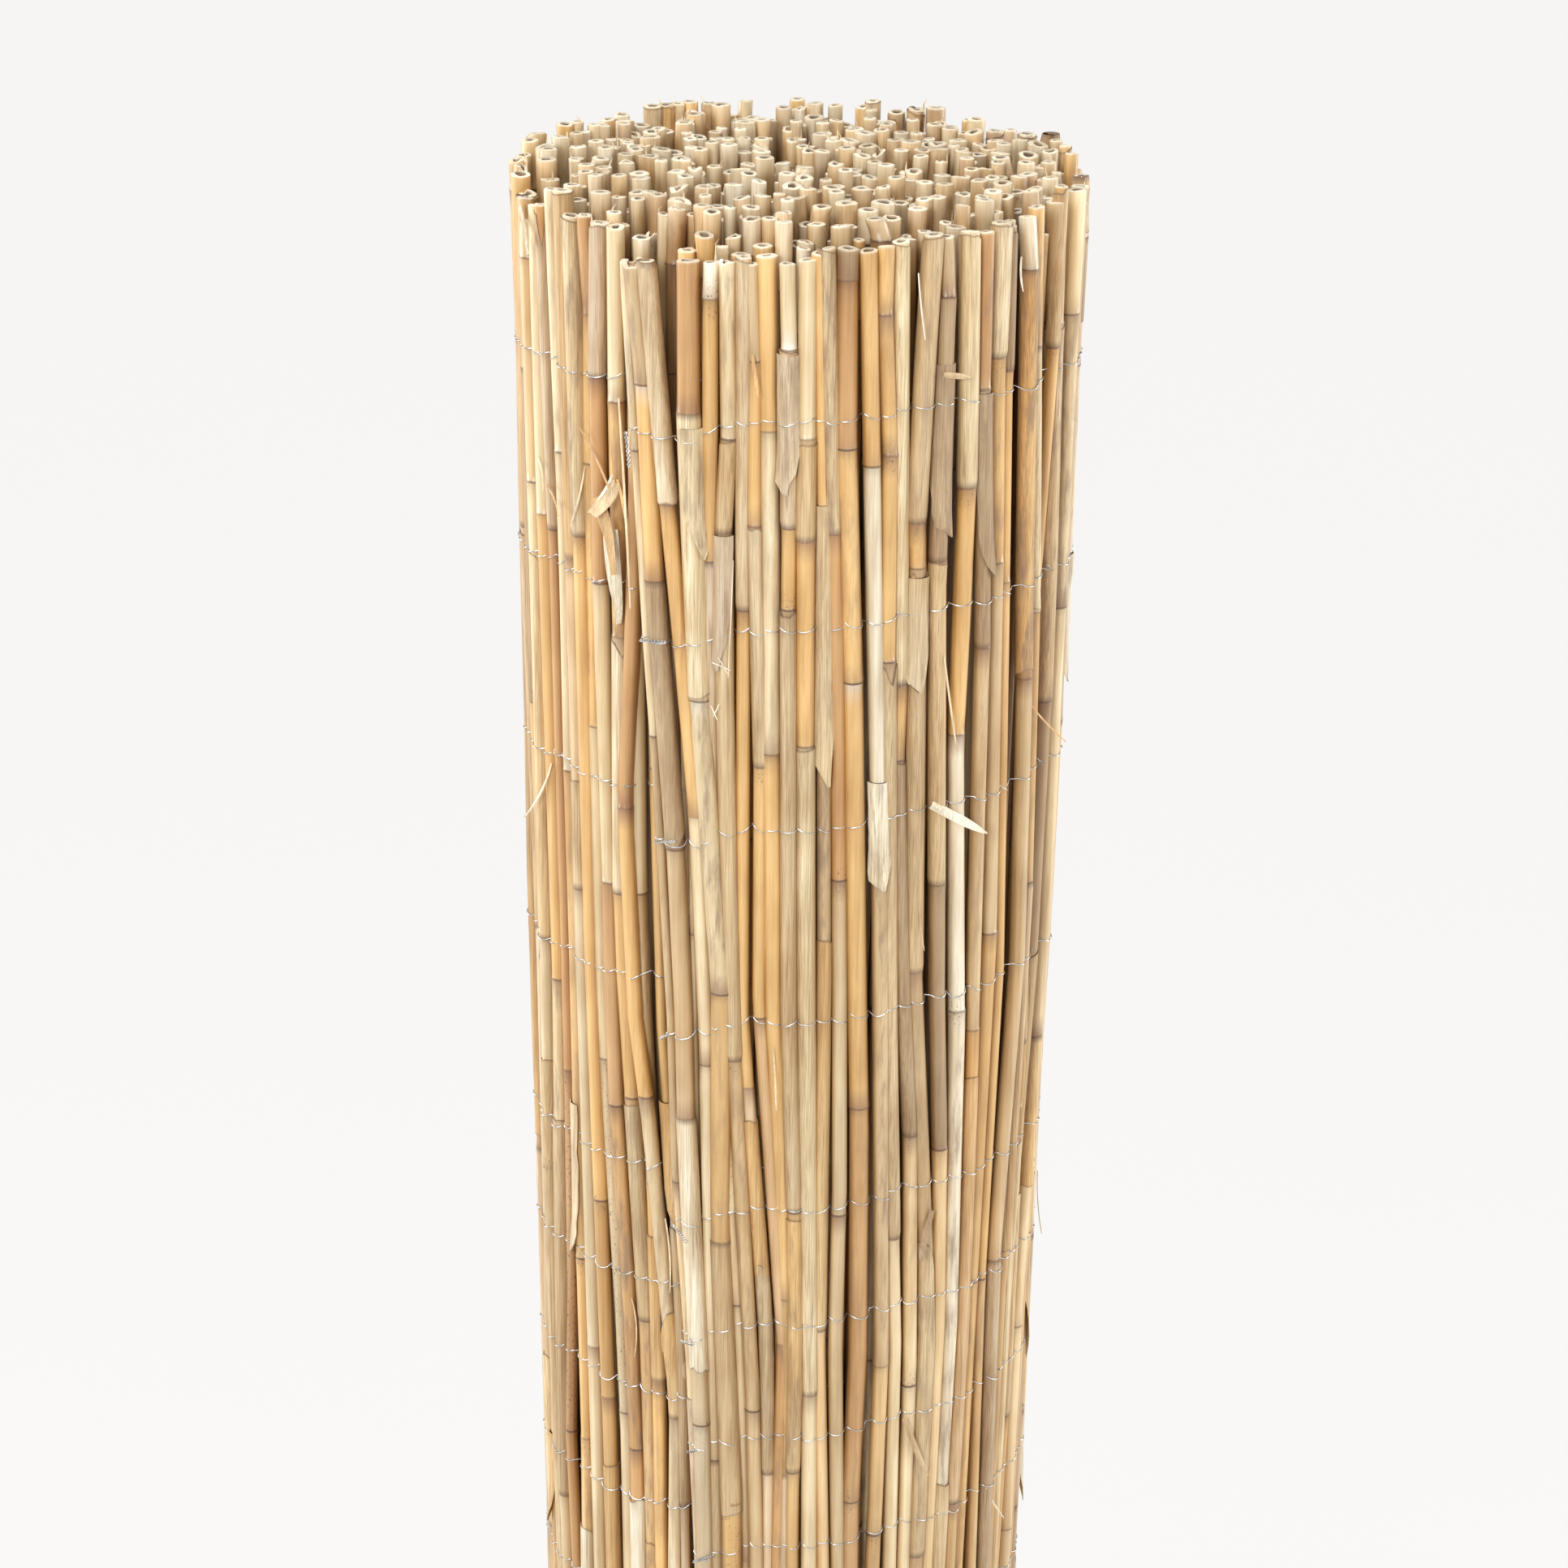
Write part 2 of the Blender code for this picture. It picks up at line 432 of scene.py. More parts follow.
@dataclass
class Stalks:
    """How a reed is made: joints, swellings, kinks, sheaths, cut ends and tones.

    Lengths are in metres, and a Pair is the least and the most that chance draws, apart from
    rim_scatter, of which it draws one. joint_rings runs up a reed that stands as it grew.
    end_depths has one entry for each ReedEnd, the first as a share of bore_depth.
    """

    plan: RollPlan
    sides: int = 12
    upright_share: float = 0.62
    taper: float = 0.045
    kink: float = 0.0006
    sway: float = 0.0005
    sway_waves: Pair = (1.0, 2.6)
    joint_mean: float = 0.150
    joint_spread: float = 0.36
    joint_least: float = 0.055
    joint_most: float = 0.260
    joint_clearance: float = 0.004
    joint_rings: Row = (-0.0100, -0.0036, -0.0007, -0.0003, 0.0003, 0.0007, 0.0042, 0.0100)
    joint_swell: Row = (1.0, 1.018, 1.050, 1.068, 1.060, 0.998, 0.985, 1.0)
    joint_shade: Row = (0.0, 0.16, 0.32, 1.0, 0.95, 0.24, 0.06, 0.0)
    level_count: int = 10
    level_gap: float = 0.02
    top_levels: Row = (0.030, 0.022, 0.008)
    top_level_gap: float = 0.002
    tone_spread: float = 0.08
    stretch_mix: float = 0.40
    stretch_spread: float = 0.06
    named_spread: float = 0.03
    stretch_speck_chance: float = 0.015
    stretch_stain_chance: float = 0.42
    warmth: float = 0.13
    node_reach: float = 0.0095
    node_line: float = 0.0003
    node_strength: Pair = (0.50, 1.0)
    stain_chance: float = 0.45
    stain_strength: Pair = (0.35, 0.80)
    bloom_chance: float = 0.06
    bloom_strength: Pair = (0.45, 0.80)
    bloom_fade: float = 1.6
    speck_chance: float = 0.24
    speck_strength: Pair = (0.7, 1.0)
    # Painted shade where a reed faces its neighbours: how dark it gets, and the powers that warm
    # it.
    painted_crevice_depth: float = 0.40
    painted_crevice_warmth: Triple = (0.68, 1.0, 1.50)
    unevenness: float = 0.018
    end_shares: Row = (0.79, 0.10, 0.07, 0.04)
    end_depths: tuple[Pair, ...] = ((0.25, 1.1), (0.0003, 0.0012), (0.002, 0.006), (0.002, 0.005))
    bore_depth: float = 0.024
    bore_taper: float = 1.12
    wall_share: float = 0.23
    wall_spread: Pair = (0.85, 1.30)
    cut_slope: float = 0.06
    cut_scatter: float = 0.00011
    chip_chance: float = 0.16
    chip_depth: float = 0.0012
    tear_depth: float = 0.0026
    crush_share: float = 0.22
    edge_depth: float = 0.0010
    splinter_chance: float = 0.16
    splinter_rise: Pair = (0.0015, 0.0060)
    splinter_lean: float = 0.0010
    splinter_radii: Row = (0.0006, 0.00045, 0.00008)
    sheath_sides: int = 14
    sheath_chance: float = 0.44
    sheath_least: float = 0.02
    sheath_reaches: tuple[Pair, Pair] = ((0.30, 0.95), (0.97, 1.12))
    sheath_thickness: Pair = (0.00028, 0.00060)
    sheath_ease: Row = (0, 0, 0.1, 0.4, 0.9, 1.0, 1.0, 1.0)
    sheath_swell: Row = (0.9, 1.0, 1.0, 1.0, 1.0, 1.05, 1.15, 1.0)
    rim_slant: Pair = (0.0002, 0.0035)
    rim_scatter: Pair = (0.0002, 0.0009)
    slit_chance: float = 0.28
    slit_width: float = 0.45
    slit_depth: Pair = (0.004, 0.018)
    peel_steps: int = 14
    peel_points: int = 7
    peel_gap: float = 0.00065
    peel_lift: float = 0.0012
    peel_thickness: float = 0.00035
    peel_curl: float = 0.0007
    peel_powers: tuple[Pair, Pair] = ((1.9, 4.5), (9.0, 22.0))
    peel_edge: Pair = (0.10, 1.05)
    peel_ragged: float = 0.04
    peel_aside: float = 0.45
    peel_fray: float = 0.0004

    def joints(self, dice: Dice, low: float, high: float) -> Array:
        """Space a reed's joints between two heights.

        Args:
            dice: The source of chance.
            low: Where the first stretch starts.
            high: No joint is higher.

        Returns:
            The joints' heights.
        """
        found = []
        height = low + dice.uniform(0.2, 1.0) * self.joint_mean
        while height < high:
            found.append(height)
            step = dice.lognormal(math.log(self.joint_mean), self.joint_spread)
            height += min(max(step, self.joint_least), self.joint_most)
        return np.array(found)

    def pick(self, dice: Dice, tones: str, shares: Row) -> Array:
        """Draw a tone, a little lighter or darker than its family."""
        tone = light(tones[dice.choice(len(tones), p=np.array(shares) / sum(shares))])
        return tone * (1.0 + dice.normal(0.0, self.tone_spread))

    def stalk(self, dice: Dice, reed: Reed, slant: Array | None = None, detail_from: float = 0.0,
              look: ReedLook | None = None) -> Stalk:
        """Work out one reed's rings from its foot to its top.

        Args:
            dice: The source of chance.
            reed: The reed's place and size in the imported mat.
            slant: Rows of height, shift along the mat in metres and offset outward.
            detail_from: Joints are made above this height only.
            look: How it looks, or none for chance to choose.

        Returns:
            The reed's line, radii and values.
        """
        growth = 1 if dice.random() < self.upright_share else -1
        joints = self.joints(dice, detail_from, reed.height - self.joint_clearance)
        if look:
            below = joints[joints < look.joints[-1] - self.joint_mean * 0.7]
            joints = np.concatenate([below, look.joints[::-1]])
        knots = np.concatenate([[0.0], joints, [reed.height]])
        side = dice.normal(0.0, self.kink, len(knots))
        out = dice.normal(0.0, self.kink, len(knots))
        heights, swell, shade = self.ring_rows(reed.height, joints, growth)
        taper = 1.0 + growth * self.taper * (0.5 - heights / self.plan.height)
        radii = reed.diameter / 2 * taper * swell * self.plan.waist_scale(heights)
        phase, waves = dice.uniform(0, TAU), dice.uniform(*self.sway_waves)
        along = np.interp(heights, knots, side) + self.sway * np.sin(
            TAU * waves * heights / self.plan.height + phase)
        outward = np.interp(heights, knots, out)
        if slant is not None:
            along = along + np.interp(heights, slant[0], slant[1])
            outward = outward + np.interp(heights, slant[0], slant[2])
        turns = reed.middle + along / (TAU * self.plan.spiral_radius(reed.middle))
        tones, marks = self.values(dice, heights, shade, joints, growth, look)
        return Stalk(heights, turns, outward, radii, tones, marks, joints, growth, look)

    def ring_rows(self, top: float, joints: Array, growth: int) -> tuple[Array, ...]:
        """Where a reed's rings lie: round its joints, near its top and at plain levels between.

        Args:
            top: The reed's height.
            joints: Heights of its joints.
            growth: 1 for a reed that stands as it grew, and -1 for one on its head.

        Returns:
            The rings' heights, swellings and shades.
        """
        rows = [(0.0, 1.0, 0.0)]
        for joint in joints:
            near = [joint + growth * ring for ring in self.joint_rings]
            ring = sorted(zip(near, self.joint_swell, self.joint_shade))
            rows += [row for row in ring if rows[-1][0] + 0.0002 < row[0] < top - 0.0003]
        plain = [(level, self.level_gap) for level in np.linspace(0.0, top, self.level_count)[1:-1]]
        near_top = [(top - depth, self.top_level_gap) for depth in self.top_levels]
        for level, gap in (*plain, (top, -1.0), *near_top):
            if min(abs(level - row[0]) for row in rows) > gap:
                rows.append((level, 1.0, 0.0))
        return tuple(np.array(column) for column in zip(*sorted(rows)))

    def values(self, dice: Dice, heights: Array, shade: Array, joints: Array, growth: int,
               look: ReedLook | None) -> tuple[Array, Array]:
        """Tones and marks of a stem: one tone a stretch, dark joints, stains and white bloom.

        Args:
            dice: The source of chance.
            heights: Heights of the rings.
            shade: How far each ring is darkened by its joint.
            joints: Heights of the joints.
            growth: 1 for a reed that stands as it grew, and -1 for one on its head.
            look: How it looks, or none for chance to choose.

        Returns:
            The tones and the marks, one a ring.
        """
        base = self.pick(dice, STEM_TONES, STEM_SHARES)
        stretch = np.searchsorted(joints, heights + growth * 1e-6, side="right")
        stretch_tone, specks, stains = [], [], []
        for _ in range(len(joints) + 1):
            other = self.pick(dice, STEM_TONES, STEM_SHARES)
            mix = dice.uniform(0.0, self.stretch_mix)
            spread = 1 + dice.normal(0, self.stretch_spread)
            stretch_tone.append((base * (1 - mix) + other * mix) * spread)
            specks.append(draw_if(dice, self.stretch_speck_chance, 0.5, 1.0))
            stains.append(draw_if(dice, self.stretch_stain_chance, 0.3, 1.0))
        for number, letter in enumerate(look.tones if look else ""):
            stretch_tone[-1 - number] = light(letter) * (1 + dice.normal(0, self.named_spread))
            specks[-1 - number] = 0.0
        tones = np.array(stretch_tone)[stretch]
        marks = np.zeros((len(heights), 4))
        marks[:, 1] = np.array(specks)[stretch]
        marks[:, 3] = np.array(stains)[stretch]
        edges = np.concatenate([[0.0], joints, [self.plan.height]])
        part = (heights - edges[stretch]) / np.maximum(edges[stretch + 1] - edges[stretch], 1e-6)
        part = part if growth > 0 else 1 - part
        tones = blend(tones, WARM_TONE, np.clip(self.warmth * part, 0, 1))
        for order, joint in enumerate(joints):
            number = len(joints) - 1 - order
            named = look is not None and number < len(look.joints)
            near = np.clip(1.0 - np.abs(heights - joint) / self.node_reach, 0.0, 1.0)
            ahead = near * (growth * (heights - joint) > self.node_line)
            behind = near * (growth * (heights - joint) < -self.node_line)
            strength = dice.uniform(*self.node_strength)
            tones = blend(tones, NODE_TONE, shade * strength * (near > 0))
            if (str(number) in look.darks) if named else dice.random() < self.stain_chance:
                stain = dice.uniform(*self.stain_strength) * (near if named else behind)
                tones = blend(tones, STAIN_TONE, stain)
            if (str(number) in look.blooms) if named else dice.random() < self.bloom_chance:
                bloom = dice.uniform(*self.bloom_strength) * ahead ** self.bloom_fade
                tones = blend(tones, BLOOM_TONE, bloom)
            if (str(number) in look.specks) if named else dice.random() < self.speck_chance:
                speck = dice.uniform(*self.speck_strength) * near ** 0.5
                marks[:, 1] = np.maximum(marks[:, 1], speck)
        return tones, marks

    def paint_crevice_shade(self, tones: Array, turns: Array, sides: int, turned: float = 0.0) -> Array:
        """Paint shade on a reed's sides that face its neighbours: darker, and warmer as bounced
        light would make it, where the reeds meet.

        Args:
            tones: One tone a ring.
            turns: The ring's places along the mat.
            sides: Points round a ring.
            turned: Angle of the first point.

        Returns:
            One tone a point.
        """
        outward = self.plan.edge_angle + TAU * turns
        away = turned + TAU * np.arange(sides)[None, :] / sides - outward[:, None]
        level = 1.0 - self.painted_crevice_depth * np.abs(np.sin(away)) ** 3
        return tones[:, None, :] * level[..., None] ** np.array(self.painted_crevice_warmth)

    def rings(self, turns: Array, offsets: Array, heights: Array, radii: Array, sides: int,
              turned: float = 0.0, lean: Array | None = None) -> Array:
        """Rings of points round a line on the rolled mat.

        Args:
            turns: Places of the line along the mat, one a ring.
            offsets: Its offsets outward.
            heights: Its heights, one a ring or one a point.
            radii: Radii, one a ring or one a point.
            sides: Points round a ring.
            turned: Angle of the first point.
            lean: Sideways moves of the line in the row's frame, one a ring.

        Returns:
            Points as rings by sides by three.
        """
        levels = heights if heights.ndim == 1 else heights.mean(axis=1)
        centre = self.plan.place(turns, offsets, levels)
        if lean is not None:
            centre = centre + lean
        wide = radii if radii.ndim == 2 else np.repeat(radii[:, None], sides, axis=1)
        points = ring_points(centre, wide, turned + TAU * np.arange(sides) / sides)
        if heights.ndim == 2:
            points[..., 2] = heights
        return points

    def add_stem(self, pile: MeshPile, dice: Dice, stalk: Stalk, sides: int | None = None,
                 lean: Array | None = None, kind: ReedEnd | None = None) -> None:
        """Add a reed's stem with its cut foot and top.

        Args:
            pile: The mesh that takes it.
            dice: The source of chance.
            stalk: The reed's line and values.
            sides: Points round the stem, or none for the usual count.
            lean: Sideways moves of the reed's rings in the row's frame.
            kind: How its top is cut or broken, or none for chance to choose.
        """
        sides = sides or self.sides
        uneven = 1.0 + dice.normal(0.0, self.unevenness, sides)[None, :]
        body = self.rings(stalk.turns, stalk.offsets, stalk.heights,
                          stalk.radii[:, None] * uneven, sides, lean=lean)
        foot, foot_tone, foot_mark = self.end(dice, body[0], stalk.tones[0], -1, ReedEnd.HOLLOW)
        kind = kind or ReedEnd(int(dice.choice(len(ReedEnd), p=self.end_shares)))
        top, top_tone, top_mark = self.end(dice, body[-1], stalk.tones[-1], 1, kind)
        rings = np.concatenate([foot[::-1], body[1:-1], top])
        spread = np.ones((1, sides, 1))
        # The stem's sides get painted shade towards its neighbours.
        tones = np.concatenate([foot_tone[::-1, None] * spread,
                                self.paint_crevice_shade(stalk.tones[1:-1], stalk.turns[1:-1], sides),
                                top_tone[:, None] * spread])
        marks = np.concatenate([foot_mark[::-1], stalk.marks[1:-1], top_mark])
        pile.add_rings(rings, tones, marks)
        if dice.random() < self.splinter_chance:
            self.add_splinter(pile, dice, body[-1], stalk.tones[-1])

    def add_splinter(self, pile: MeshPile, dice: Dice, ring: Array, tone: Array) -> None:
        """Stand a thin splinter on the wall of a cut top.

        Args:
            pile: The mesh that takes it.
            dice: The source of chance.
            ring: The stem's last ring.
            tone: The stem's tone there.
        """
        middle = ring.mean(axis=0)
        foot = ring[dice.integers(len(ring))]
        foot = foot + (middle - foot) * 0.15
        rise = min(dice.uniform(*self.splinter_rise), self.plan.height + 0.003 - foot[2])
        line = np.array([foot - (0, 0, 0.003), foot + (0, 0, 0.3 * rise), foot + (0, 0, rise)])
        line[2, :2] += dice.normal(0.0, self.splinter_lean, 2)
        count = len(self.splinter_radii)
        swing = TAU * np.arange(count) / count
        points = ring_points(line, np.array(self.splinter_radii)[:, None], swing)
        tones = np.repeat((tone * 0.5 + CUT_TONE * 0.5)[None, :], count, axis=0)
        pile.add_rings(points, tones, np.tile((0.6, 0.0, 0.0, 0.0), (count, 1)))

    def end(self, dice: Dice, ring: Array, tone: Array, way: int,
            kind: ReedEnd) -> tuple[Array, Array, Array]:
        """Rings of a cut end, from the outer edge of the cut to the bottom of the bore.

        Args:
            dice: The source of chance.
            ring: The stem's last ring.
            tone: The stem's tone there.
            way: 1 for the top and -1 for the foot.
            kind: How it is cut or broken.

        Returns:
            The rings, their tones and their marks.
        """
        middle = ring.mean(axis=0)
        ragged = np.zeros(len(ring))
        if way > 0:
            ragged = dice.normal(0.0, self.cut_scatter, len(ring))
            if kind is ReedEnd.TORN or dice.random() < self.chip_chance:
                tear = self.tear_depth if kind is ReedEnd.TORN else self.chip_depth
                tear = np.abs(dice.normal(0.0, tear, len(ring)))
                ragged -= (tear + np.roll(tear, 1) + np.roll(tear, -1)) / 3
            ragged += (ring[:, :2] - middle[:2]) @ dice.normal(0.0, self.cut_slope, 2)
        rim = ring.copy()
        rim[:, 2] = np.minimum(rim[:, 2] + ragged, self.plan.height)
        if kind is ReedEnd.CRUSHED:
            axis = dice.normal(size=2)
            axis /= np.linalg.norm(axis)
            flat = (rim[:, :2] - middle[:2]) @ axis
            rim[:, :2] -= self.crush_share * flat[:, None] * axis
        wall = dice.uniform(*self.wall_spread) * self.wall_share * 2
        depths = [dice.uniform(*span) for span in self.end_depths]
        depth = depths[kind.value] * (self.bore_depth if kind is ReedEnd.HOLLOW else 1.0)
        inward = (middle - rim) * np.array([1.0, 1.0, 0.0])
        inner = rim + inward * wall
        bottom = rim + inward * wall * self.bore_taper
        bottom[:, 2] = middle[2] - way * depth - (0.0015 if way > 0 else 0.0)
        cut = CUT_TONE * dice.uniform(0.78, 1.0)
        # The bore's tone is partly the reed's inner wall and partly painted shade down the hole. A
        # hollow bore's bottom is painted darker still; other ends show their pith there.
        bore = BORE_AND_SHADE_TONE * dice.uniform(0.42, 1.00)
        pith_and_shade = PITH_TONE * dice.uniform(0.7, 1.0) if kind is not ReedEnd.HOLLOW else bore * 0.7
        if way < 0:
            return (np.stack([rim, inner, bottom]), np.stack([tone, cut, pith_and_shade]),
                    np.outer((0.5, 1.0, 1.0), CUT_MARK))
        shoulder, bevel, throat = ring.copy(), rim + inward * 0.12, inner + inward * 0.02
        shoulder[:, 2] = np.minimum(ring[:, 2], rim[:, 2]) - self.edge_depth
        shoulder[:, :2] = rim[:, :2]
        rim[:, 2] -= self.edge_depth * 0.3
        throat[:, 2] = np.maximum(inner[:, 2] - self.edge_depth, bottom[:, 2] + 0.0002)
        tones = np.stack([tone, tone * 0.4 + cut * 0.6, cut, cut * 0.95, bore, pith_and_shade])
        marks = np.outer((0.0, 0.5, 1.0, 1.0, 1.0, 1.0), CUT_MARK)
        return np.stack([shoulder, rim, bevel, inner, throat, bottom]), tones, marks

    def add_sheaths(self, pile: MeshPile, dice: Dice, stalk: Stalk) -> None:
        """Wrap some stretches of a reed in dry leaf sheath.

        Args:
            pile: The mesh that takes the sheaths.
            dice: The source of chance.
            stalk: The reed. Its covers are filled in.
        """
        edges = np.concatenate([[0.0], stalk.joints, [stalk.heights[-1]]])
        for order, (low, high) in enumerate(zip(edges, edges[1:])):
            number = len(edges) - 2 - order
            named = stalk.look is not None and number < len(stalk.look.tones)
            wanted = (str(number) in stalk.look.sheathed) if named else (
                dice.random() < self.sheath_chance)
            if high - low < self.sheath_least or not wanted:
                continue
            root, tip = (low, high) if stalk.growth > 0 else (high, low)
            reach = dice.choice([dice.uniform(*span) for span in self.sheath_reaches])
            tip = root + (tip - root) * (1.0 if named else reach)
            if not 0.004 < tip < stalk.heights[-1] - 0.001:
                tip = min(max(tip, 0.0005), stalk.heights[-1] - 0.0004)
            self.add_sheath(pile, dice, stalk, root, tip,
                            light(stalk.look.tones[number]) if named else None)

    def add_sheath(self, pile: MeshPile, dice: Dice, stalk: Stalk, root: float, tip: float,
                   tone: Array | None) -> None:
        """Wrap one stretch of a reed, from the joint at its root to its ragged rim.

        Args:
            pile: The mesh that takes the sheath.
            dice: The source of chance.
            stalk: The reed. The sheath is added to its covers.
            root: Height of the joint that it grows from.
            tip: Height of its rim.
            tone: Its tone, or none for chance to choose.
        """
        way = 1.0 if tip > root else -1.0
        length = abs(tip - root)
        thick = dice.uniform(*self.sheath_thickness)
        share = np.array([0.0, min(0.003 / length, 0.1), 0.35, 0.7, 1 - min(0.010 / length, 0.2),
                          1 - min(0.0009 / length, 0.1), 1.0, 1.0])
        sides = self.sheath_sides
        heights = np.repeat((root + (tip - root) * share)[:, None], sides, axis=1)
        swing = TAU * np.arange(sides) / sides
        front = dice.uniform(0, TAU)
        slit = np.exp(-((np.mod(swing - front, TAU) - math.pi) / self.slit_width) ** 2)
        cut_back = dice.uniform(*self.rim_slant) * (1 - np.cos(swing - front)) / 2
        if dice.random() < self.slit_chance:
            cut_back = cut_back + dice.uniform(*self.slit_depth) * slit
        cut_back = cut_back + np.abs(dice.normal(0.0, dice.choice(self.rim_scatter), sides))
        cut_back = np.minimum(cut_back, 0.4 * length)
        heights = heights - way * np.array(self.sheath_ease)[:, None] * cut_back[None, :]
        turns, offsets, radii = stalk.at(heights.mean(axis=1))
        wrap = (np.arange(sides) / (sides - 1))[None, :]
        grow = np.array(self.sheath_swell)[:, None]
        wide = np.maximum(radii, np.median(radii) * 0.97)[:, None]
        wide = wide + thick * grow * (0.55 + 0.75 * wrap)
        wide[0] = radii[0] * 1.01
        wide[-1] = radii[-1] * 0.93
        turned = dice.uniform(0, TAU)
        rings = self.rings(turns, offsets, heights, wide, sides, turned)
        mix = np.clip(dice.uniform(0, 0.5) + 0.5 * share, 0, 1) * (0.4 if tone is not None else 1.0)
        if tone is None:
            tone = self.pick(dice, SHEATH_TONES, SHEATH_SHARES) * 0.62
            tone = tone + np.median(stalk.tones, axis=0) * 0.38
        tones = blend(tone, self.pick(dice, SHEATH_TONES, SHEATH_SHARES), mix)
        # The root takes the joint's dark tone. The rim ends in a thin dark line: partly the dry
        # edge's own colour, partly painted shade under the rim's step.
        tones[0] = tones[0] * 0.25 + NODE_TONE * 0.75
        tones[-3] = tones[-3] * 0.94
        tones[-2] = tones[-2] * 0.35 + NODE_TONE * 0.65
        tones[-1] = NODE_TONE * 0.6
        marks = np.zeros((len(share), 4))
        marks[:, 0] = 1.0
        marks[:, 1] = draw_if(dice, 0.02, 0.4, 0.9)
        marks[:, 3] = draw_if(dice, 0.35, 0.2, 1.0)
        # The sheath gets painted shade towards the neighbouring reeds, as the stems do.
        tones = self.paint_crevice_shade(tones, turns, sides, turned)
        pile.add_rings(*(values[::int(way)] for values in (rings, tones, marks)))
        stalk.covers.append((min(root, tip), max(root, tip), thick * 1.3))

    def add_peel(self, pile: MeshPile, dice: Dice, stalk: Stalk, root: float, tip: float,
                 span: float, facing: float, tone: Array) -> None:
        """Lay a strip of torn sheath on a reed, from its full width to a ragged tip that lifts.

        Args:
            pile: The mesh that takes it.
            dice: The source of chance.
            stalk: The reed.
            root: Height where it starts.
            tip: Height of its tip.
            span: How much of the reed it covers at its root, in degrees.
            facing: Where its middle faces, in degrees from straight out.
            tone: Its tone.
        """
        steps = np.linspace(0.0, 1.0, self.peel_steps)
        heights = root + (tip - root) * steps
        turns, offsets, radii = stalk.at(heights)
        inner = np.maximum(radii, np.median(radii)) + self.peel_gap + self.peel_lift * steps ** 4
        half = math.radians(span / 2)
        powers = dice.permutation([dice.uniform(*span) for span in self.peel_powers])
        torn = [1.0 - steps ** power + dice.normal(0.0, self.peel_ragged, len(steps))
                for power in powers]
        left, right = (half * np.clip(edge, *self.peel_edge)[:, None] for edge in torn)
        across = np.linspace(0.0, 1.0, self.peel_points)
        middle = self.plan.edge_angle + TAU * turns + math.radians(facing)
        middle = middle + dice.uniform(-self.peel_aside, self.peel_aside) * half * steps ** 3
        swing = middle[:, None] - left + (left + right) * np.concatenate([across, across[::-1]])
        curl = np.abs(2 * across - 1) ** 4 * dice.uniform(0.0, self.peel_curl)
        wide = np.concatenate([curl + self.peel_thickness, curl[::-1]])[None, :] + inner[:, None]
        points = ring_points(self.plan.place(turns, offsets, heights), wide, swing)
        frayed = np.abs(dice.normal(0.0, self.peel_fray, points.shape[:2]))
        points[..., 2] += frayed * (steps > 0.9)[:, None]
        other = self.pick(dice, SHEATH_TONES, SHEATH_SHARES)
        tones = tone * (1 - 0.4 * steps[:, None]) + other * 0.4 * steps[:, None]
        marks = np.tile((1.0, 0.0, 0.0, dice.uniform(0.3, 1.0)), (len(steps), 1))
        way = -1 if tip < root else 1
        pile.add_rings(*(values[::way] for values in (points, tones, marks)))


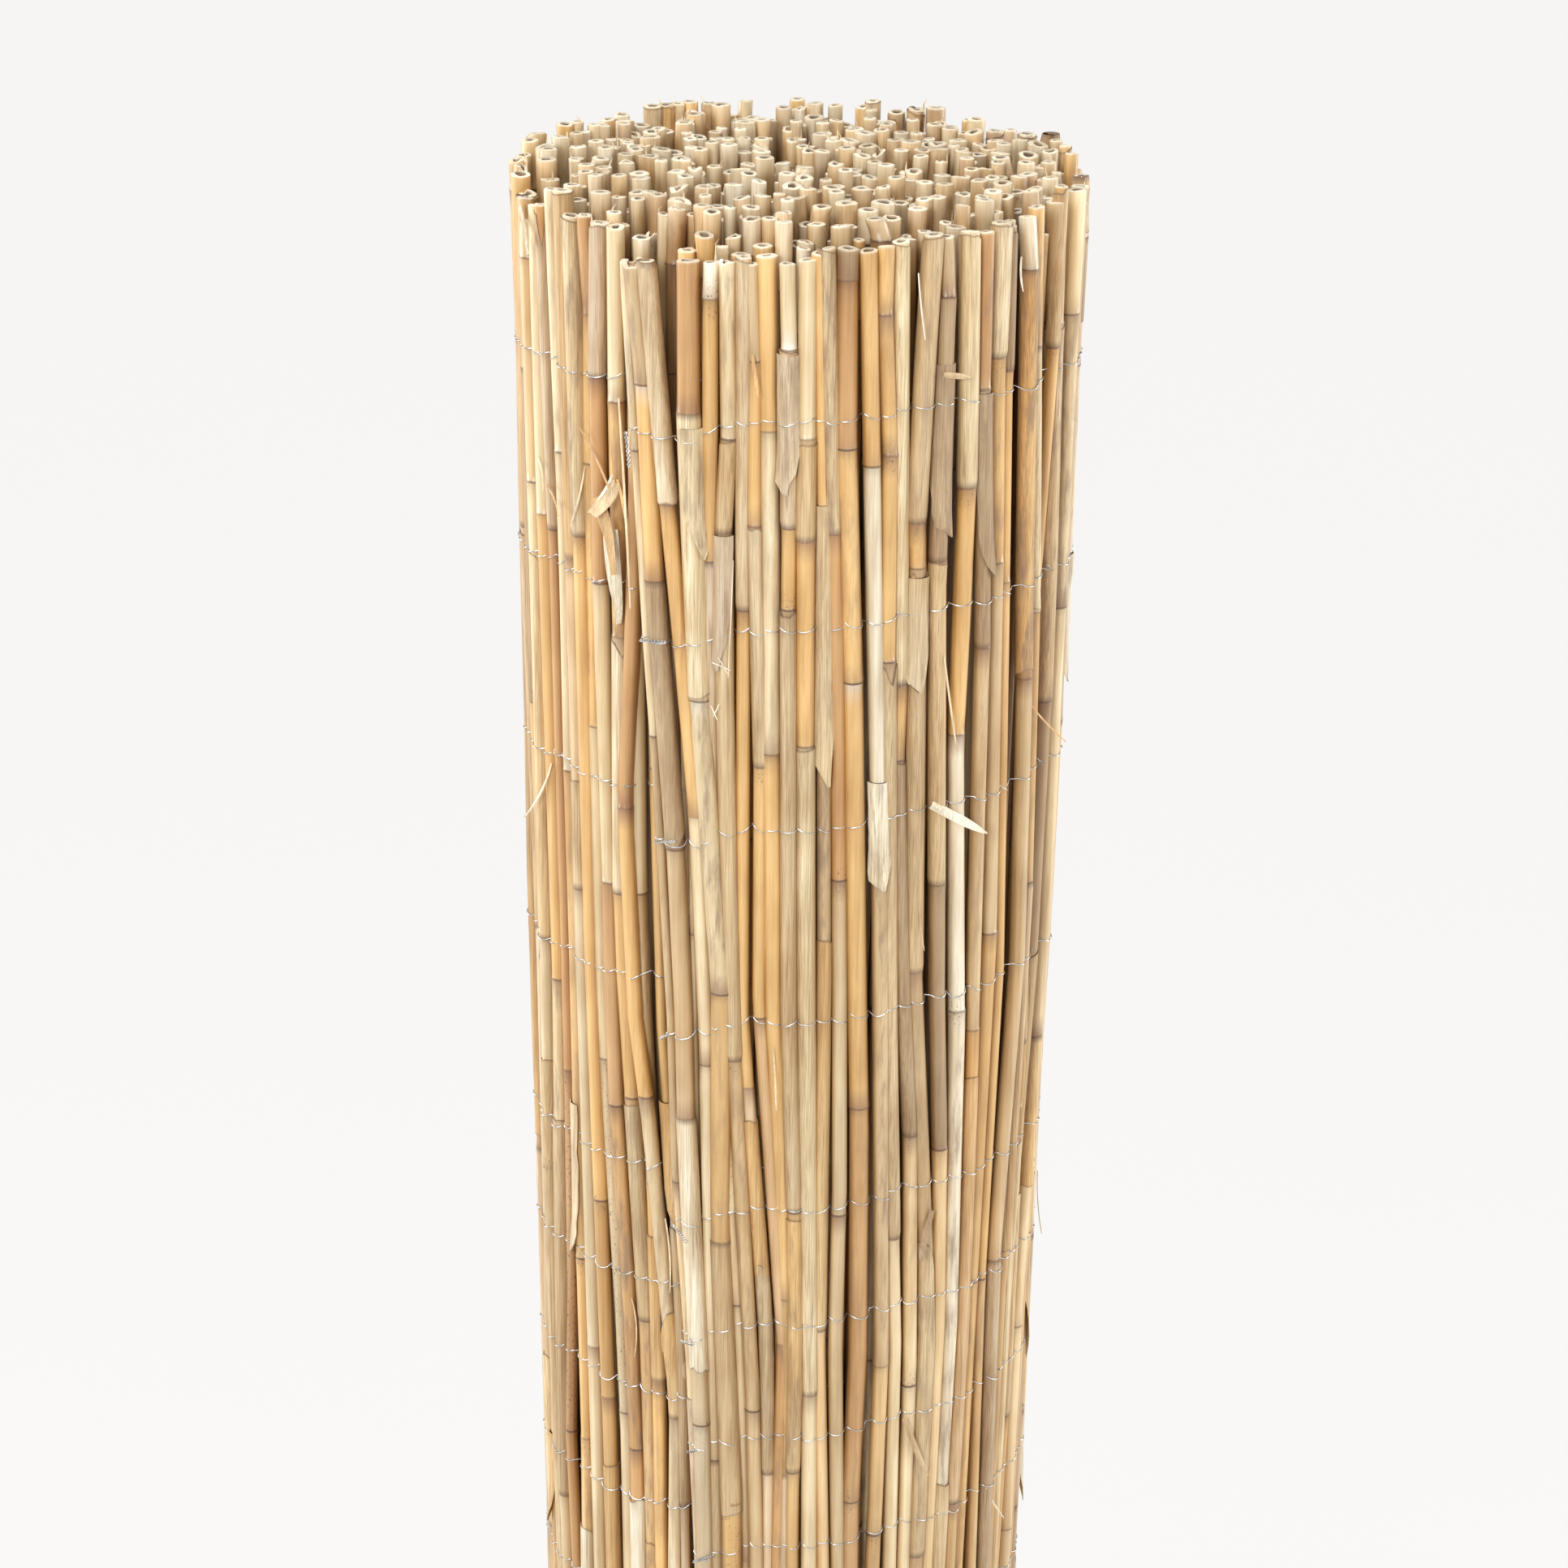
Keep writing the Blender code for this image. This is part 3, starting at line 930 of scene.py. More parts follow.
REED_LOOKS = {
    0: ReedLook(0.0046, (0.012, 0.0022, -0.0075, -0.0119), (1.401, 1.278), "SSB"),
    1: ReedLook(0.0084, (0.0192, 0.0097, 0.0015, -0.0053), (1.43, 1.347), "BGY", "2", "0", "", "1"),
    2: ReedLook(0.0074, (0.0319, 0.0238, 0.0135, 0.0038), (1.381,), "BG", "0", "", "", "0"),
    3: ReedLook(0.0096, (0.0425, 0.0301, 0.0243, 0.0231), (1.421, 1.298), "OSS", "1", "1", "", "0"),
    4: ReedLook(0.0066, (0.0374, 0.0357, 0.035, 0.0354), (1.469, 1.358), "CGP", "2", "", "0", "0"),
    5: ReedLook(0.0072, (0.044, 0.0434, 0.0444, 0.0446), (1.411, 1.371), "SBB", "12", "1", "1"),
    6: ReedLook(0.0066, (0.0511, 0.0526, 0.0533, 0.0525), (1.338,), "BG", "0", "", "0", "0"),
    7: ReedLook(0.0062, (0.0623, 0.0614, 0.0599, 0.0588), (1.444, 1.375, 1.27), "BGBG", "2", "",
                "2", "1"),
    8: ReedLook(0.0088, (0.0701, 0.0683, 0.0681, 0.066), (1.415, 1.276), "GSG", "", "", "", "1"),
    9: ReedLook(0.0068, (0.0793, 0.0794, 0.0771, 0.0766), (1.45, 1.375, 1.34), "SPGB", "13", "0",
                "2"),
    10: ReedLook(0.008, (0.0907, 0.0894, 0.0858, 0.0852), (1.413, 1.37, 1.28), "SBGS", "13", "",
                 "", "1"),
    11: ReedLook(0.0068, (0.0997, 0.099, 0.094, 0.0928), (1.383,), "GB"),
    12: ReedLook(0.0072, (0.1101, 0.1069, 0.1009, 0.0973), (1.372,), "BO", "0", "", "", "0"),
    13: ReedLook(0.009, (0.1193, 0.1161, 0.1103, 0.1076), (1.478, 1.408, 1.307), "YOGG", "", "2",
                 "", "0"),
    14: ReedLook(0.0074, (0.133, 0.1282, 0.1224, 0.1185), (1.4, 1.218), "GCB"),
    15: ReedLook(0.0072, (0.1395, 0.135, 0.1311, 0.1276), (1.463, 1.404, 1.315), "GGGB", "3", "",
                 "1", "01"),
    16: ReedLook(0.0074, (0.1453, 0.1422, 0.1393, 0.1366), (1.304, 1.27), "SGY", "02", "", "0",
                 "0"),
    17: ReedLook(0.0084, (0.1555, 0.1524, 0.1481, 0.1518), (1.374, 1.354), "BGB", "02", "", "0",
                 "0"),
    18: ReedLook(0.0076, (0.1685, 0.1638, 0.16, 0.1621), (1.468, 1.356, 1.211), "BYBY", "12", "",
                 "2", "0"),
    19: ReedLook(0.0084, (0.1838, 0.1797, 0.1783, 0.1747), (1.386,), "SG", "0", "", "0", "0"),
    20: ReedLook(0.007, (0.1966, 0.192, 0.1877, 0.1866), (1.427, 1.314), "OYB", "1", "", "", "1"),
    21: ReedLook(0.0086, (0.211, 0.2065, 0.2003, 0.1985), (1.438, 1.349), "SGB", "0", "", "0"),
    22: ReedLook(0.0062, (0.2262, 0.2185, 0.2097, 0.2073), (1.431, 1.339), "YGG", "0", "", "0",
                 "1"),
    23: ReedLook(0.007, (0.2443, 0.237, 0.2251, 0.221), (1.472, 1.292), "CGB", "1", "", "", "1"),
    24: ReedLook(0.0068, (0.26, 0.251, 0.2382, 0.2316), (1.437, 1.319), "GSG", "1"),
    25: ReedLook(0.0092, (0.278, 0.27, 0.2632, 0.2628), (1.442,), "BB", "1", "", "", "0"),
    -1: ReedLook(0.005, (0.989, 0.9895, 0.99, 0.99), (1.258,), "BG", "", "", "", "", -0.0034),
    -2: ReedLook(0.0074, (0.9735, 0.9785, 0.9885, 0.99), (1.24,), "OG", "", "", "", "0", 0.0026),
    -3: ReedLook(0.0072, (0.9795, 0.9806, 0.9812, 0.9815), (1.2,), "SB", "", "", "", "", -0.0008),
    -4: ReedLook(0.0078, (0.969, 0.9698, 0.97, 0.9705), (1.417, 1.315), "SGS", "2", "", "", "01"),
    -5: ReedLook(0.008, (0.9585, 0.9578, 0.9575, 0.959), (1.426, 1.337), "POS", "0", "", "", "0"),
    -6: ReedLook(0.0076, (0.9465, 0.946, 0.947, 0.946), (1.451, 1.387), "OGG", "", "", "", "0"),
    -7: ReedLook(0.0074, (), (1.355,), "SG", "0", "", "0", "0"),
    -9: ReedLook(0.0074, (), (1.387,), "SS"),
    -11: ReedLook(0.008, (), (1.356,), "SG"),
}


def tail_twist(plan: RollPlan, turns: float, levels: Array) -> Array:
    """How far the mat leans along itself, beside and under its free edge, at some heights."""
    away = (turns - plan.twist_middle) / plan.twist_width
    return plan.twist_lean * math.exp(-away ** 2) * (plan.twist_height - levels)


@dataclass
class OuterTurn:
    """The outer turn of the mat and the reeds that show under its leaning free edge."""

    plan: RollPlan
    stalks: Stalks
    edge_count: int = 8
    edge_levels: Row = (0.0, 0.50, 0.90, 1.00, 1.09, 1.15, 1.23, 1.32, 1.42, 1.50)
    edge_lean: Row = (0.010, 0.017, 0.0180, 0.0130, 0.0090, 0.0084, 0.0032, -0.0047, -0.0125,
                      -0.0155)
    tail_tops: Row = (1.466, 1.470, 1.468, 1.4911, 1.4908, 1.4920, 1.4910)
    edge_ends: tuple[ReedEnd, ...] = (ReedEnd.CRUSHED, ReedEnd.TORN, ReedEnd.HOLLOW)
    look_levels: Row = (1.19, 1.28, 1.38, 1.46)
    look_fade: Pair = (1.02, 1.19)
    follow_count: int = 14
    front_tops: Row = (
        1.4799, 1.4826, 1.4814, 1.4842, 1.4837, 1.4855, 1.4868, 1.4840, 1.4872, 1.4851, 1.4864,
        1.4887, 1.4916, 1.4907, 1.4897, 1.4912, 1.4923, 1.4940, 1.4932, 1.4934, 1.4922, 1.4942,
        1.4919, 1.4937, 1.4972, 1.4935)
    peels: tuple[tuple[int, float, float, float, float, str], ...] = (
        (11, 1.384, 1.262, 190.0, 0.0, "B"), (18, 1.440, 1.366, 235.0, 20.0, "Y"),
        (14, 1.262, 1.2135, 180.0, 0.0, "C"), (5, 1.370, 1.312, 170.0, -10.0, "P"),
        (9, 1.448, 1.390, 190.0, 0.0, "P"), (20, 1.425, 1.345, 165.0, 10.0, "Y"),
        (3, 1.415, 1.360, 120.0, 40.0, "S"), (17, 1.350, 1.300, 140.0, -20.0, "B"))
    peel_count: int = 26
    peel_levels: Pair = (0.05, 1.38)
    peel_lengths: Pair = (0.04, 0.11)
    peel_spans: Pair = (110, 200)
    edge_tuck: float = 0.0030
    edge_layer: float = 0.0021
    edge_fill: float = 0.0032
    shuffle: float = 0.0010
    stray: float = 0.0006
    ripple: float = 0.0004
    out_limits: Pair = (-0.0040, 0.0030)
    back_turns: Pair = (0.31, 0.82)
    drift_waves: tuple[tuple[float, float, float, float], ...] = (
        (0.0019, 0.045, 0.9, 0.3), (0.0015, 0.105, -1.6, 0.1), (0.0012, 0.160, 2.3, 0.7),
        (0.0008, 0.270, 3.1, 0.5))
    level_count: int = 19
    squeezed_count: int = 16
    squeezed_width: float = 0.0042
    squeezed_offset: float = -0.0056
    seed: int = 11
    looks: dict[int, ReedLook] = field(default_factory=dict)
    last_goal: Array | None = None

    def drift(self, index: int, levels: Array) -> Array:
        """How far neighbouring reeds lean together along the mat, with gaps where they part."""
        return sum(reach * np.sin(TAU * (across * index + up * levels + start))
                   for reach, across, up, start in self.drift_waves)

    def slant(self, index: int, turns: float, dice: Dice) -> Array:
        """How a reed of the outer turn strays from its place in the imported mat.

        Args:
            index: The reed's number from the free edge.
            turns: Its place along the mat.
            dice: The source of chance.

        Returns:
            Rows of height, shift along the mat and offset outward.
        """
        levels = np.linspace(0.0, self.plan.height, self.level_count)
        lean = np.interp(levels, self.edge_levels, self.edge_lean)
        fade = max(0.0, 1.0 - index / self.edge_count)
        shift = lean * fade + self.drift(index, levels) * min(1.0, index / self.edge_count)
        shift += tail_twist(self.plan, turns, levels) + dice.normal(0.0, self.stray)
        look = self.looks.get(index)
        if look and look.places:
            over = 1.5 * look.places[-1] - 0.5 * look.places[-2]
            wanted = np.interp(levels, self.look_levels + (self.plan.height,),
                               look.places + (over,))
            near = np.interp(levels, self.look_fade, (0.0, 1.0))
            goal = (wanted - turns) * TAU * self.plan.spiral_radius(turns)
            shift = shift * (1 - near) + goal * near
            self.last_goal = goal * near
        elif 0 < index - len(self.front_tops) < self.follow_count:
            past = (index - len(self.front_tops)) / self.follow_count
            shift = shift + self.last_goal * (1 - past)
        out = np.full(len(levels), dice.normal(0.0, self.shuffle))
        out += dice.normal(0.0, self.ripple, len(levels))
        crowd = np.clip(lean / 0.014, 0, 1) * min(1.0, 1.6 * fade)
        out += crowd * self.edge_layer * (1.0 if index % 2 else -0.7)
        out -= self.edge_tuck * math.exp(-index / 4.0)
        out = np.clip(out, *self.out_limits)
        if look and look.layer:
            out += np.interp(levels, self.look_fade, (self.edge_fill, look.layer))
        return np.stack([levels, shift, out])

    def side(self, turns: float) -> str:
        """The piece that a reed at a place along the mat belongs to."""
        low, high = self.back_turns
        return "outer_stems_back" if low < turns < high else "outer_stems_front"

    def add_squeezed(self, piles: dict[str, MeshPile], dice: Dice, turns: float) -> None:
        """Add a thin reed squeezed in behind the outer turn, seen through its gaps.

        Args:
            piles: The meshes of the outer turn.
            dice: The source of chance.
            turns: Its place along the mat.
        """
        levels = np.array([0.0, self.plan.height])
        slant = np.stack([levels, dice.normal(0.0, 0.004, 2), np.full(2, self.squeezed_offset)])
        width = self.squeezed_width * dice.uniform(0.8, 1.1)
        reed = Reed(turns, turns, width, self.plan.height - dice.uniform(0.004, 0.11))
        self.stalks.add_stem(piles[self.side(turns)], dice, self.stalks.stalk(dice, reed, slant))

    def add_peels(self, pile: MeshPile, dice: Dice, lines: list[Stalk]) -> None:
        """Lay strips of torn sheath on some reeds: those that the photograph shows, and others.

        Args:
            pile: The mesh that takes them.
            dice: The source of chance.
            lines: The outer reeds.
        """
        peels = list(self.peels)
        first = len(self.front_tops)
        for _ in range(self.peel_count):
            index = first + int(dice.integers(len(lines) - first))
            foot = dice.uniform(*self.peel_levels)
            peels.append((index, foot + dice.uniform(*self.peel_lengths), foot,
                          dice.uniform(*self.peel_spans), dice.normal(0.0, 20.0),
                          SHEATH_TONES[dice.integers(len(SHEATH_TONES))]))
        for index, root, tip, span, facing, tone in peels:
            self.stalks.add_peel(pile, dice, lines[index], root, tip, span, facing, light(tone))

    def build(self, reeds: list[Reed], material: Material) -> list[Stalk]:
        """Build the outer turn's stems and sheaths.

        Args:
            reeds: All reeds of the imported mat.
            material: The reed finish.

        Returns:
            The outer reeds' lines, which the wires follow.
        """
        dice = np.random.default_rng(self.seed)
        outer = [reed for reed in reeds if int(reed.start) == 0]
        piles = {"outer_stems_front": MeshPile(), "outer_stems_back": MeshPile(),
                 "outer_sheaths": MeshPile()}
        self.looks = {number % len(outer): look for number, look in REED_LOOKS.items()}
        lines = []
        for index, reed in enumerate(outer):
            look = self.looks.get(index)
            kind = self.edge_ends[index] if index < len(self.edge_ends) else None
            top = self.front_tops[index] if index < len(self.front_tops) else reed.height
            if len(outer) - index <= len(self.tail_tops):
                top = self.tail_tops[len(outer) - index - 1]
            reed = Reed(reed.start, reed.end, look.width if look else reed.diameter, top)
            slant = self.slant(index, reed.middle, dice)
            stalk = self.stalks.stalk(dice, reed, slant, look=look)
            self.stalks.add_stem(piles[self.side(reed.middle)], dice, stalk, kind=kind)
            self.stalks.add_sheaths(piles["outer_sheaths"], dice, stalk)
            lines.append(stalk)
        self.add_peels(piles["outer_sheaths"], dice, lines)
        for number in range(self.squeezed_count):
            self.add_squeezed(piles, dice, (number + dice.random()) / self.squeezed_count)
        for name, pile in piles.items():
            piece = pile.build(name, material)
            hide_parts("reed_turn_01")
            report(piece)
        return lines


@dataclass
class InnerTurns:
    """The nine turns inside the outer one, with their cut tops and a few voids between them."""

    plan: RollPlan
    stalks: Stalks
    sides: int = 10
    detail_depth: float = 0.17
    plain_levels: Row = (0.5, 1.0, 1.45)
    scatter: float = 0.0019
    lean_depth: float = 0.35
    lean_power: float = 1.3
    pale_depth: float = 0.022
    pale_share: float = 0.42
    # Painted shade down the inner reeds: the depth over which it deepens, and how dark it gets.
    painted_shade_depth: float = 0.030
    painted_shade_share: float = 0.55
    under_count: int = 12
    under_lift: float = 0.0030
    under_top: float = 1.15
    under_fade: float = 0.10
    voids: tuple[tuple[float, float, float, float], ...] = (
        (-0.004, 0.052, 0.012, 0.006), (0.044, 0.014, 0.013, 0.006), (-0.036, -0.022, 0.011, 0.005),
        (0.058, -0.018, 0.010, 0.005), (-0.010, -0.004, 0.009, 0.004))
    seed: int = 23

    def lean(self, dice: Dice, point: Array, heights: Array, top: float) -> Array:
        """How an inner reed leans near its top: away from voids, and a little at random.

        Args:
            dice: The source of chance.
            point: The reed's place at the top.
            heights: Heights of its rings.
            top: Height of its top.

        Returns:
            Moves in the row's frame, one a ring.
        """
        push = dice.normal(0.0, self.scatter, 2)
        for x, y, reach, strength in self.voids:
            away = point[:2] - np.array([x, y])
            distance = max(float(np.linalg.norm(away)), 1e-4)
            push += away / distance * strength * math.exp(-(distance / reach) ** 2)
        above = (heights - (top - self.lean_depth)) / self.lean_depth
        ease = np.clip(above, 0, 1) ** self.lean_power
        return np.stack([push[0] * ease, push[1] * ease, np.zeros(len(ease))], axis=-1)

    def build(self, reeds: list[Reed], material: Material) -> list[Stalk]:
        """Build one piece for each inner turn.

        Args:
            reeds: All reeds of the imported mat.
            material: The reed finish.

        Returns:
            The lines of the second turn's first reeds, which the wires run on over.
        """
        under: list[Stalk] = []
        for turn in range(1, self.plan.turn_count):
            dice = np.random.default_rng(self.seed + turn)
            pile = MeshPile()
            laid = [reed for reed in reeds if int(reed.start) == turn]
            for index, reed in enumerate(laid):
                if turn == 1 and index < self.under_count:
                    levels = np.linspace(0.0, self.plan.height, 5)
                    twist = tail_twist(self.plan, reed.middle, levels)
                    below = (self.under_top - levels) / self.under_fade
                    lift = self.under_lift * np.clip(below, 0, 1)
                    stalk = self.stalks.stalk(dice, reed, np.stack([levels, twist, lift]))
                    self.stalks.add_stem(pile, dice, stalk)
                    self.stalks.add_sheaths(pile, dice, stalk)
                    under.append(stalk)
                    continue
                self.add_plain(pile, dice, reed)
            piece = pile.build(f"inner_turn_{turn + 1:02d}", material)
            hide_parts(f"reed_turn_{turn + 1:02d}")
            report(piece)
        return under

    def add_plain(self, pile: MeshPile, dice: Dice, reed: Reed) -> None:
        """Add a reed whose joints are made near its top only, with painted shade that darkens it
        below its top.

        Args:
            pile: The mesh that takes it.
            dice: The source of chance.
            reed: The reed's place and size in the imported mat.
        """
        stalk = self.stalks.stalk(dice, reed, detail_from=reed.height - self.detail_depth)
        below = reed.height - stalk.heights[:, None]
        pale = self.pale_share * np.clip(1.0 - below / self.pale_depth, 0, 1)
        # Painted shade: below its pale top the reed turns darker and warmer, where shade falls
        # between the packed reeds.
        painted_shade = 1.0 - self.painted_shade_share * np.clip(below / self.painted_shade_depth, 0, 1)
        stalk.tones = (stalk.tones * (1 - pale) + pale * CUT_TONE) * painted_shade ** (0.85, 1.0, 1.25)
        keep = stalk.heights >= reed.height - self.detail_depth
        keep[0] = True
        wanted = self.plan.waist_height * np.array(self.plain_levels)
        for level in (*wanted, reed.height - self.pale_depth, reed.height - self.painted_shade_depth):
            keep[int(np.argmin(np.abs(stalk.heights - level)))] = True
        stalk = stalk.kept(keep)
        point = self.plan.place(stalk.turns[-1:], stalk.offsets[-1:], stalk.heights[-1:])[0]
        lean = self.lean(dice, point, stalk.heights, reed.height)
        self.stalks.add_stem(pile, dice, stalk, self.sides, lean)


@dataclass
class WireRows:
    """The rows of weaving wire, looped over every reed of the outer turn."""

    plan: RollPlan
    wire_radius: float = 0.00027
    arc_swing: Row = (-72.0, -50.0, -26.0, 0.0, 26.0, 50.0, 72.0)
    arc_sag: float = 0.0009
    arc_tilt: float = 0.0008
    arc_depth: float = 0.69
    arc_scatter: Pair = (0.5, 1.3)
    level_scatter: float = 0.0005
    seat: float = 0.9
    dip: float = 0.15
    sides: int = 5
    under_count: int = 10
    droop_turns: Row = (0.0, 0.012, 0.028, 0.042, 0.06, 0.08, 0.10, 0.12, 0.145, 0.17, 0.20, 0.24,
                        0.26, 0.40, 0.60, 0.85, 0.92, 0.95, 1.0, 1.1)
    droop: Row = (0.0170, 0.0180, 0.0150, 0.0090, 0.0052, 0.0030, 0.0026, 0.0005, -0.0035, -0.0048,
                  -0.0048, -0.0070, -0.0080, -0.0030, 0.0, 0.0020, 0.0040, 0.0072, 0.0075, 0.0060)
    tie_reeds: int = 3
    seed: int = 31

    def drooped(self, row: float, stalk: Stalk) -> float:
        """Height of a row where it crosses a reed: it hangs lower near the free edge."""
        turns = float(np.interp(row, stalk.heights, stalk.turns))
        droop = float(np.interp(turns, self.droop_turns, self.droop))
        return row + self.plan.row_lift(turns) - droop

    def route(self, dice: Dice, row: float, lines: list[Stalk]) -> Array:
        """Points of one wire row, from the free edge on.

        Args:
            dice: The source of chance.
            row: The row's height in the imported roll.
            lines: Reeds that the wire loops over, in order.

        Returns:
            The route's points.
        """
        places = []
        for stalk in lines:
            level = self.drooped(row, stalk)
            turns, offset, radius = stalk.at(level)
            places.append((float(turns), float(offset), float(radius) + stalk.cover_at(level),
                           level + dice.normal(0.0, self.level_scatter)))
        swing = np.radians(self.arc_swing)
        route = []
        for index, (turns, offset, radius, level) in enumerate(places):
            before = places[index - 1] if index else None
            after = places[index + 1] if index < len(places) - 1 else None
            scale = TAU * self.plan.spiral_radius(turns)
            low = (turns + before[0]) / 2 if before else turns - radius / scale
            high = (turns + after[0]) / 2 if after else turns + radius / scale
            clear = radius / float(self.plan.waist_scale(level)) + self.wire_radius * self.seat
            sag = self.arc_sag * dice.uniform(*self.arc_scatter)
            tilt = dice.normal(0.0, self.arc_tilt)
            along = np.clip(turns + clear * np.sin(swing) / scale, low, high)
            out = offset + clear * np.cos(swing)
            hang = sag * (1 - np.cos(swing)) / self.arc_depth
            height = level + hang - sag * 0.5 + tilt * np.sin(swing)
            route.append(self.plan.place(along, out, height))
            if after:
                dip = min(offset - self.dip * radius, after[1] - self.dip * after[2])
                gap_height = (level + after[3]) / 2 + sag * 0.7
                route.append(self.plan.place(np.array([high]), np.array([dip]),
                                             np.array([gap_height])))
        return np.concatenate(route)

    def add_wire(self, pile: MeshPile, route: Array, tone: Array) -> None:
        """Add a wire along a route.

        Args:
            pile: The mesh that takes it.
            route: The wire's points.
            tone: Its tone.
        """
        ahead = np.gradient(route, axis=0)
        ahead /= np.maximum(np.linalg.norm(ahead, axis=1, keepdims=True), 1e-9)
        side = np.cross(ahead, np.array([0.0, 0.0, 1.0]))
        side /= np.maximum(np.linalg.norm(side, axis=1, keepdims=True), 1e-9)
        over = np.cross(side, ahead)
        swing = TAU * np.arange(self.sides) / self.sides
        ring = (side[:, None, :] * np.cos(swing)[None, :, None]
                + over[:, None, :] * np.sin(swing)[None, :, None])
        rings = route[:, None, :] + self.wire_radius * ring
        values = np.repeat(tone[None, :], len(route), axis=0)
        pile.add_rings(rings[:, ::-1], values, np.zeros((len(route), 4)))

    def build(self, lines: list[Stalk], material: Material) -> list[Array]:
        """Build every wire row over the outer reeds and on under the free edge.

        Args:
            lines: The outer reeds, then the next turn's first reeds.
            material: The wire finish.

        Returns:
            The point of each row on top of the first reed, where its tie starts.
        """
        dice = np.random.default_rng(self.seed)
        roots = []
        for number, row in enumerate(self.plan.row_heights(), start=1):
            pile = MeshPile()
            route = self.route(dice, row, lines)
            self.add_wire(pile, route, WIRE_TONE)
            piece = pile.build(f"wire_loops_{number:02d}", material, math.radians(80.0))
            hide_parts(f"wire_row_{number:02d}")
            report(piece)
            first = route[len(self.arc_swing) // 2]
            edge = route[:(len(self.arc_swing) + 1) * self.tie_reeds, :2] - self.plan.shift
            out = first[:2] - self.plan.shift
            reach = np.linalg.norm(edge, axis=1).max() / np.linalg.norm(out)
            place = out * reach + self.plan.shift
            roots.append(np.array([place[0], place[1], first[2]]))
        return roots


@dataclass
class WireTies:
    """The twisted wire ends at the free edge, one for each row.

    ways holds the direction, share of the length and bend of the first rows' ties. The others are
    drawn within spans.
    """

    plan: RollPlan
    strand_radius: float = 0.00036
    strand_offset: float = 0.00042
    strand_sides: int = 6
    twist_count: int = 4
    twist_steps: int = 9
    length: float = 0.0122
    lift: float = 0.0005
    ways: tuple[Triple, ...] = (
        (-80.0, 1.2, 12.0), (4.0, 1.0, -10.0), (14.0, 0.9, 12.0), (60.0, 0.55, 120.0),
        (-38.0, 0.8, 25.0), (-8.0, 0.5, 0.0))
    spans: tuple[Pair, ...] = ((-50, 40), (0.5, 1.1), (-40, 60))
    seed: int = 43

    def master(self) -> bpy.types.Object:
        """Model one twisted pair of strands standing on the origin.

        Returns:
            The pair.
        """
        bpy.ops.object.select_all(action="DESELECT")
        bpy.ops.mesh.primitive_circle_add(vertices=self.strand_sides, radius=self.strand_radius,
                                          location=(self.strand_offset, 0.0, 0.0),
                                          rotation=(math.pi / 2, 0.0, 0.0))
        tie = bpy.context.object
        bpy.ops.object.transform_apply(location=True, rotation=True, scale=True)
        screw = tie.modifiers.new("twist", "SCREW")
        screw.axis = "Z"
        screw.angle = TAU * self.twist_count
        screw.screw_offset = self.length
        screw.steps = screw.render_steps = self.twist_steps * self.twist_count
        screw.use_merge_vertices = False
        bpy.ops.object.modifier_apply(modifier=screw.name)
        bpy.ops.object.mode_set(mode="EDIT")
        bpy.ops.mesh.select_all(action="SELECT")
        bpy.ops.mesh.duplicate()
        bpy.ops.transform.rotate(value=math.pi, orient_axis="Z", center_override=(0.0, 0.0, 0.0))
        bpy.ops.mesh.select_all(action="SELECT")
        bpy.ops.mesh.fill_holes(sides=0)
        bpy.ops.mesh.select_all(action="SELECT")
        bpy.ops.mesh.normals_make_consistent(inside=False)
        bpy.ops.object.mode_set(mode="OBJECT")
        bpy.ops.object.shade_smooth_by_angle(angle=math.radians(60.0))
        return tie

    def build(self, roots: list[Array], material: Material) -> None:
        """Copy the twisted pair to every row's end, turned and bent.

        Args:
            roots: Where each row's tie starts.
            material: The wire finish.
        """
        dice = np.random.default_rng(self.seed)
        master = self.master()
        for number, root in enumerate(roots, start=1):
            named = number <= len(self.ways)
            way, share, bend = (self.ways[number - 1] if named else
                                (dice.uniform(*span) for span in self.spans))
            tie = duplicate(master, f"wire_tie_{number:02d}")
            deform(tie, "BEND", "Y", bend)
            lay_on_roll(tie, self.plan, root, way, self.lift, share)
            tie.data.materials.append(material)
            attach(tie, BODY)
            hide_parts(f"wire_row_{number:02d}")
            report(tie)
        bpy.data.objects.remove(master)


def duplicate(source: bpy.types.Object, name: str) -> bpy.types.Object:
    """Copy an object with a mesh of its own, and leave only the copy selected.

    Args:
        source: The object.
        name: The copy's name.

    Returns:
        The copy.
    """
    bpy.ops.object.select_all(action="DESELECT")
    source.select_set(True)
    bpy.context.view_layer.objects.active = source
    bpy.ops.object.duplicate(linked=False)
    copy = bpy.context.object
    copy.name = copy.data.name = name
    return copy


def deform(piece: bpy.types.Object, method: str, axis: str, degrees: float) -> None:
    """Bend or twist a piece with an applied modifier.

    Args:
        piece: The active piece.
        method: BEND or TWIST.
        axis: The modifier's axis.
        degrees: How far.
    """
    if abs(degrees) < 1.0:
        return
    change = piece.modifiers.new(method.lower(), "SIMPLE_DEFORM")
    change.deform_method = method
    change.deform_axis = axis
    change.angle = math.radians(degrees)
    bpy.ops.object.modifier_apply(modifier=change.name)


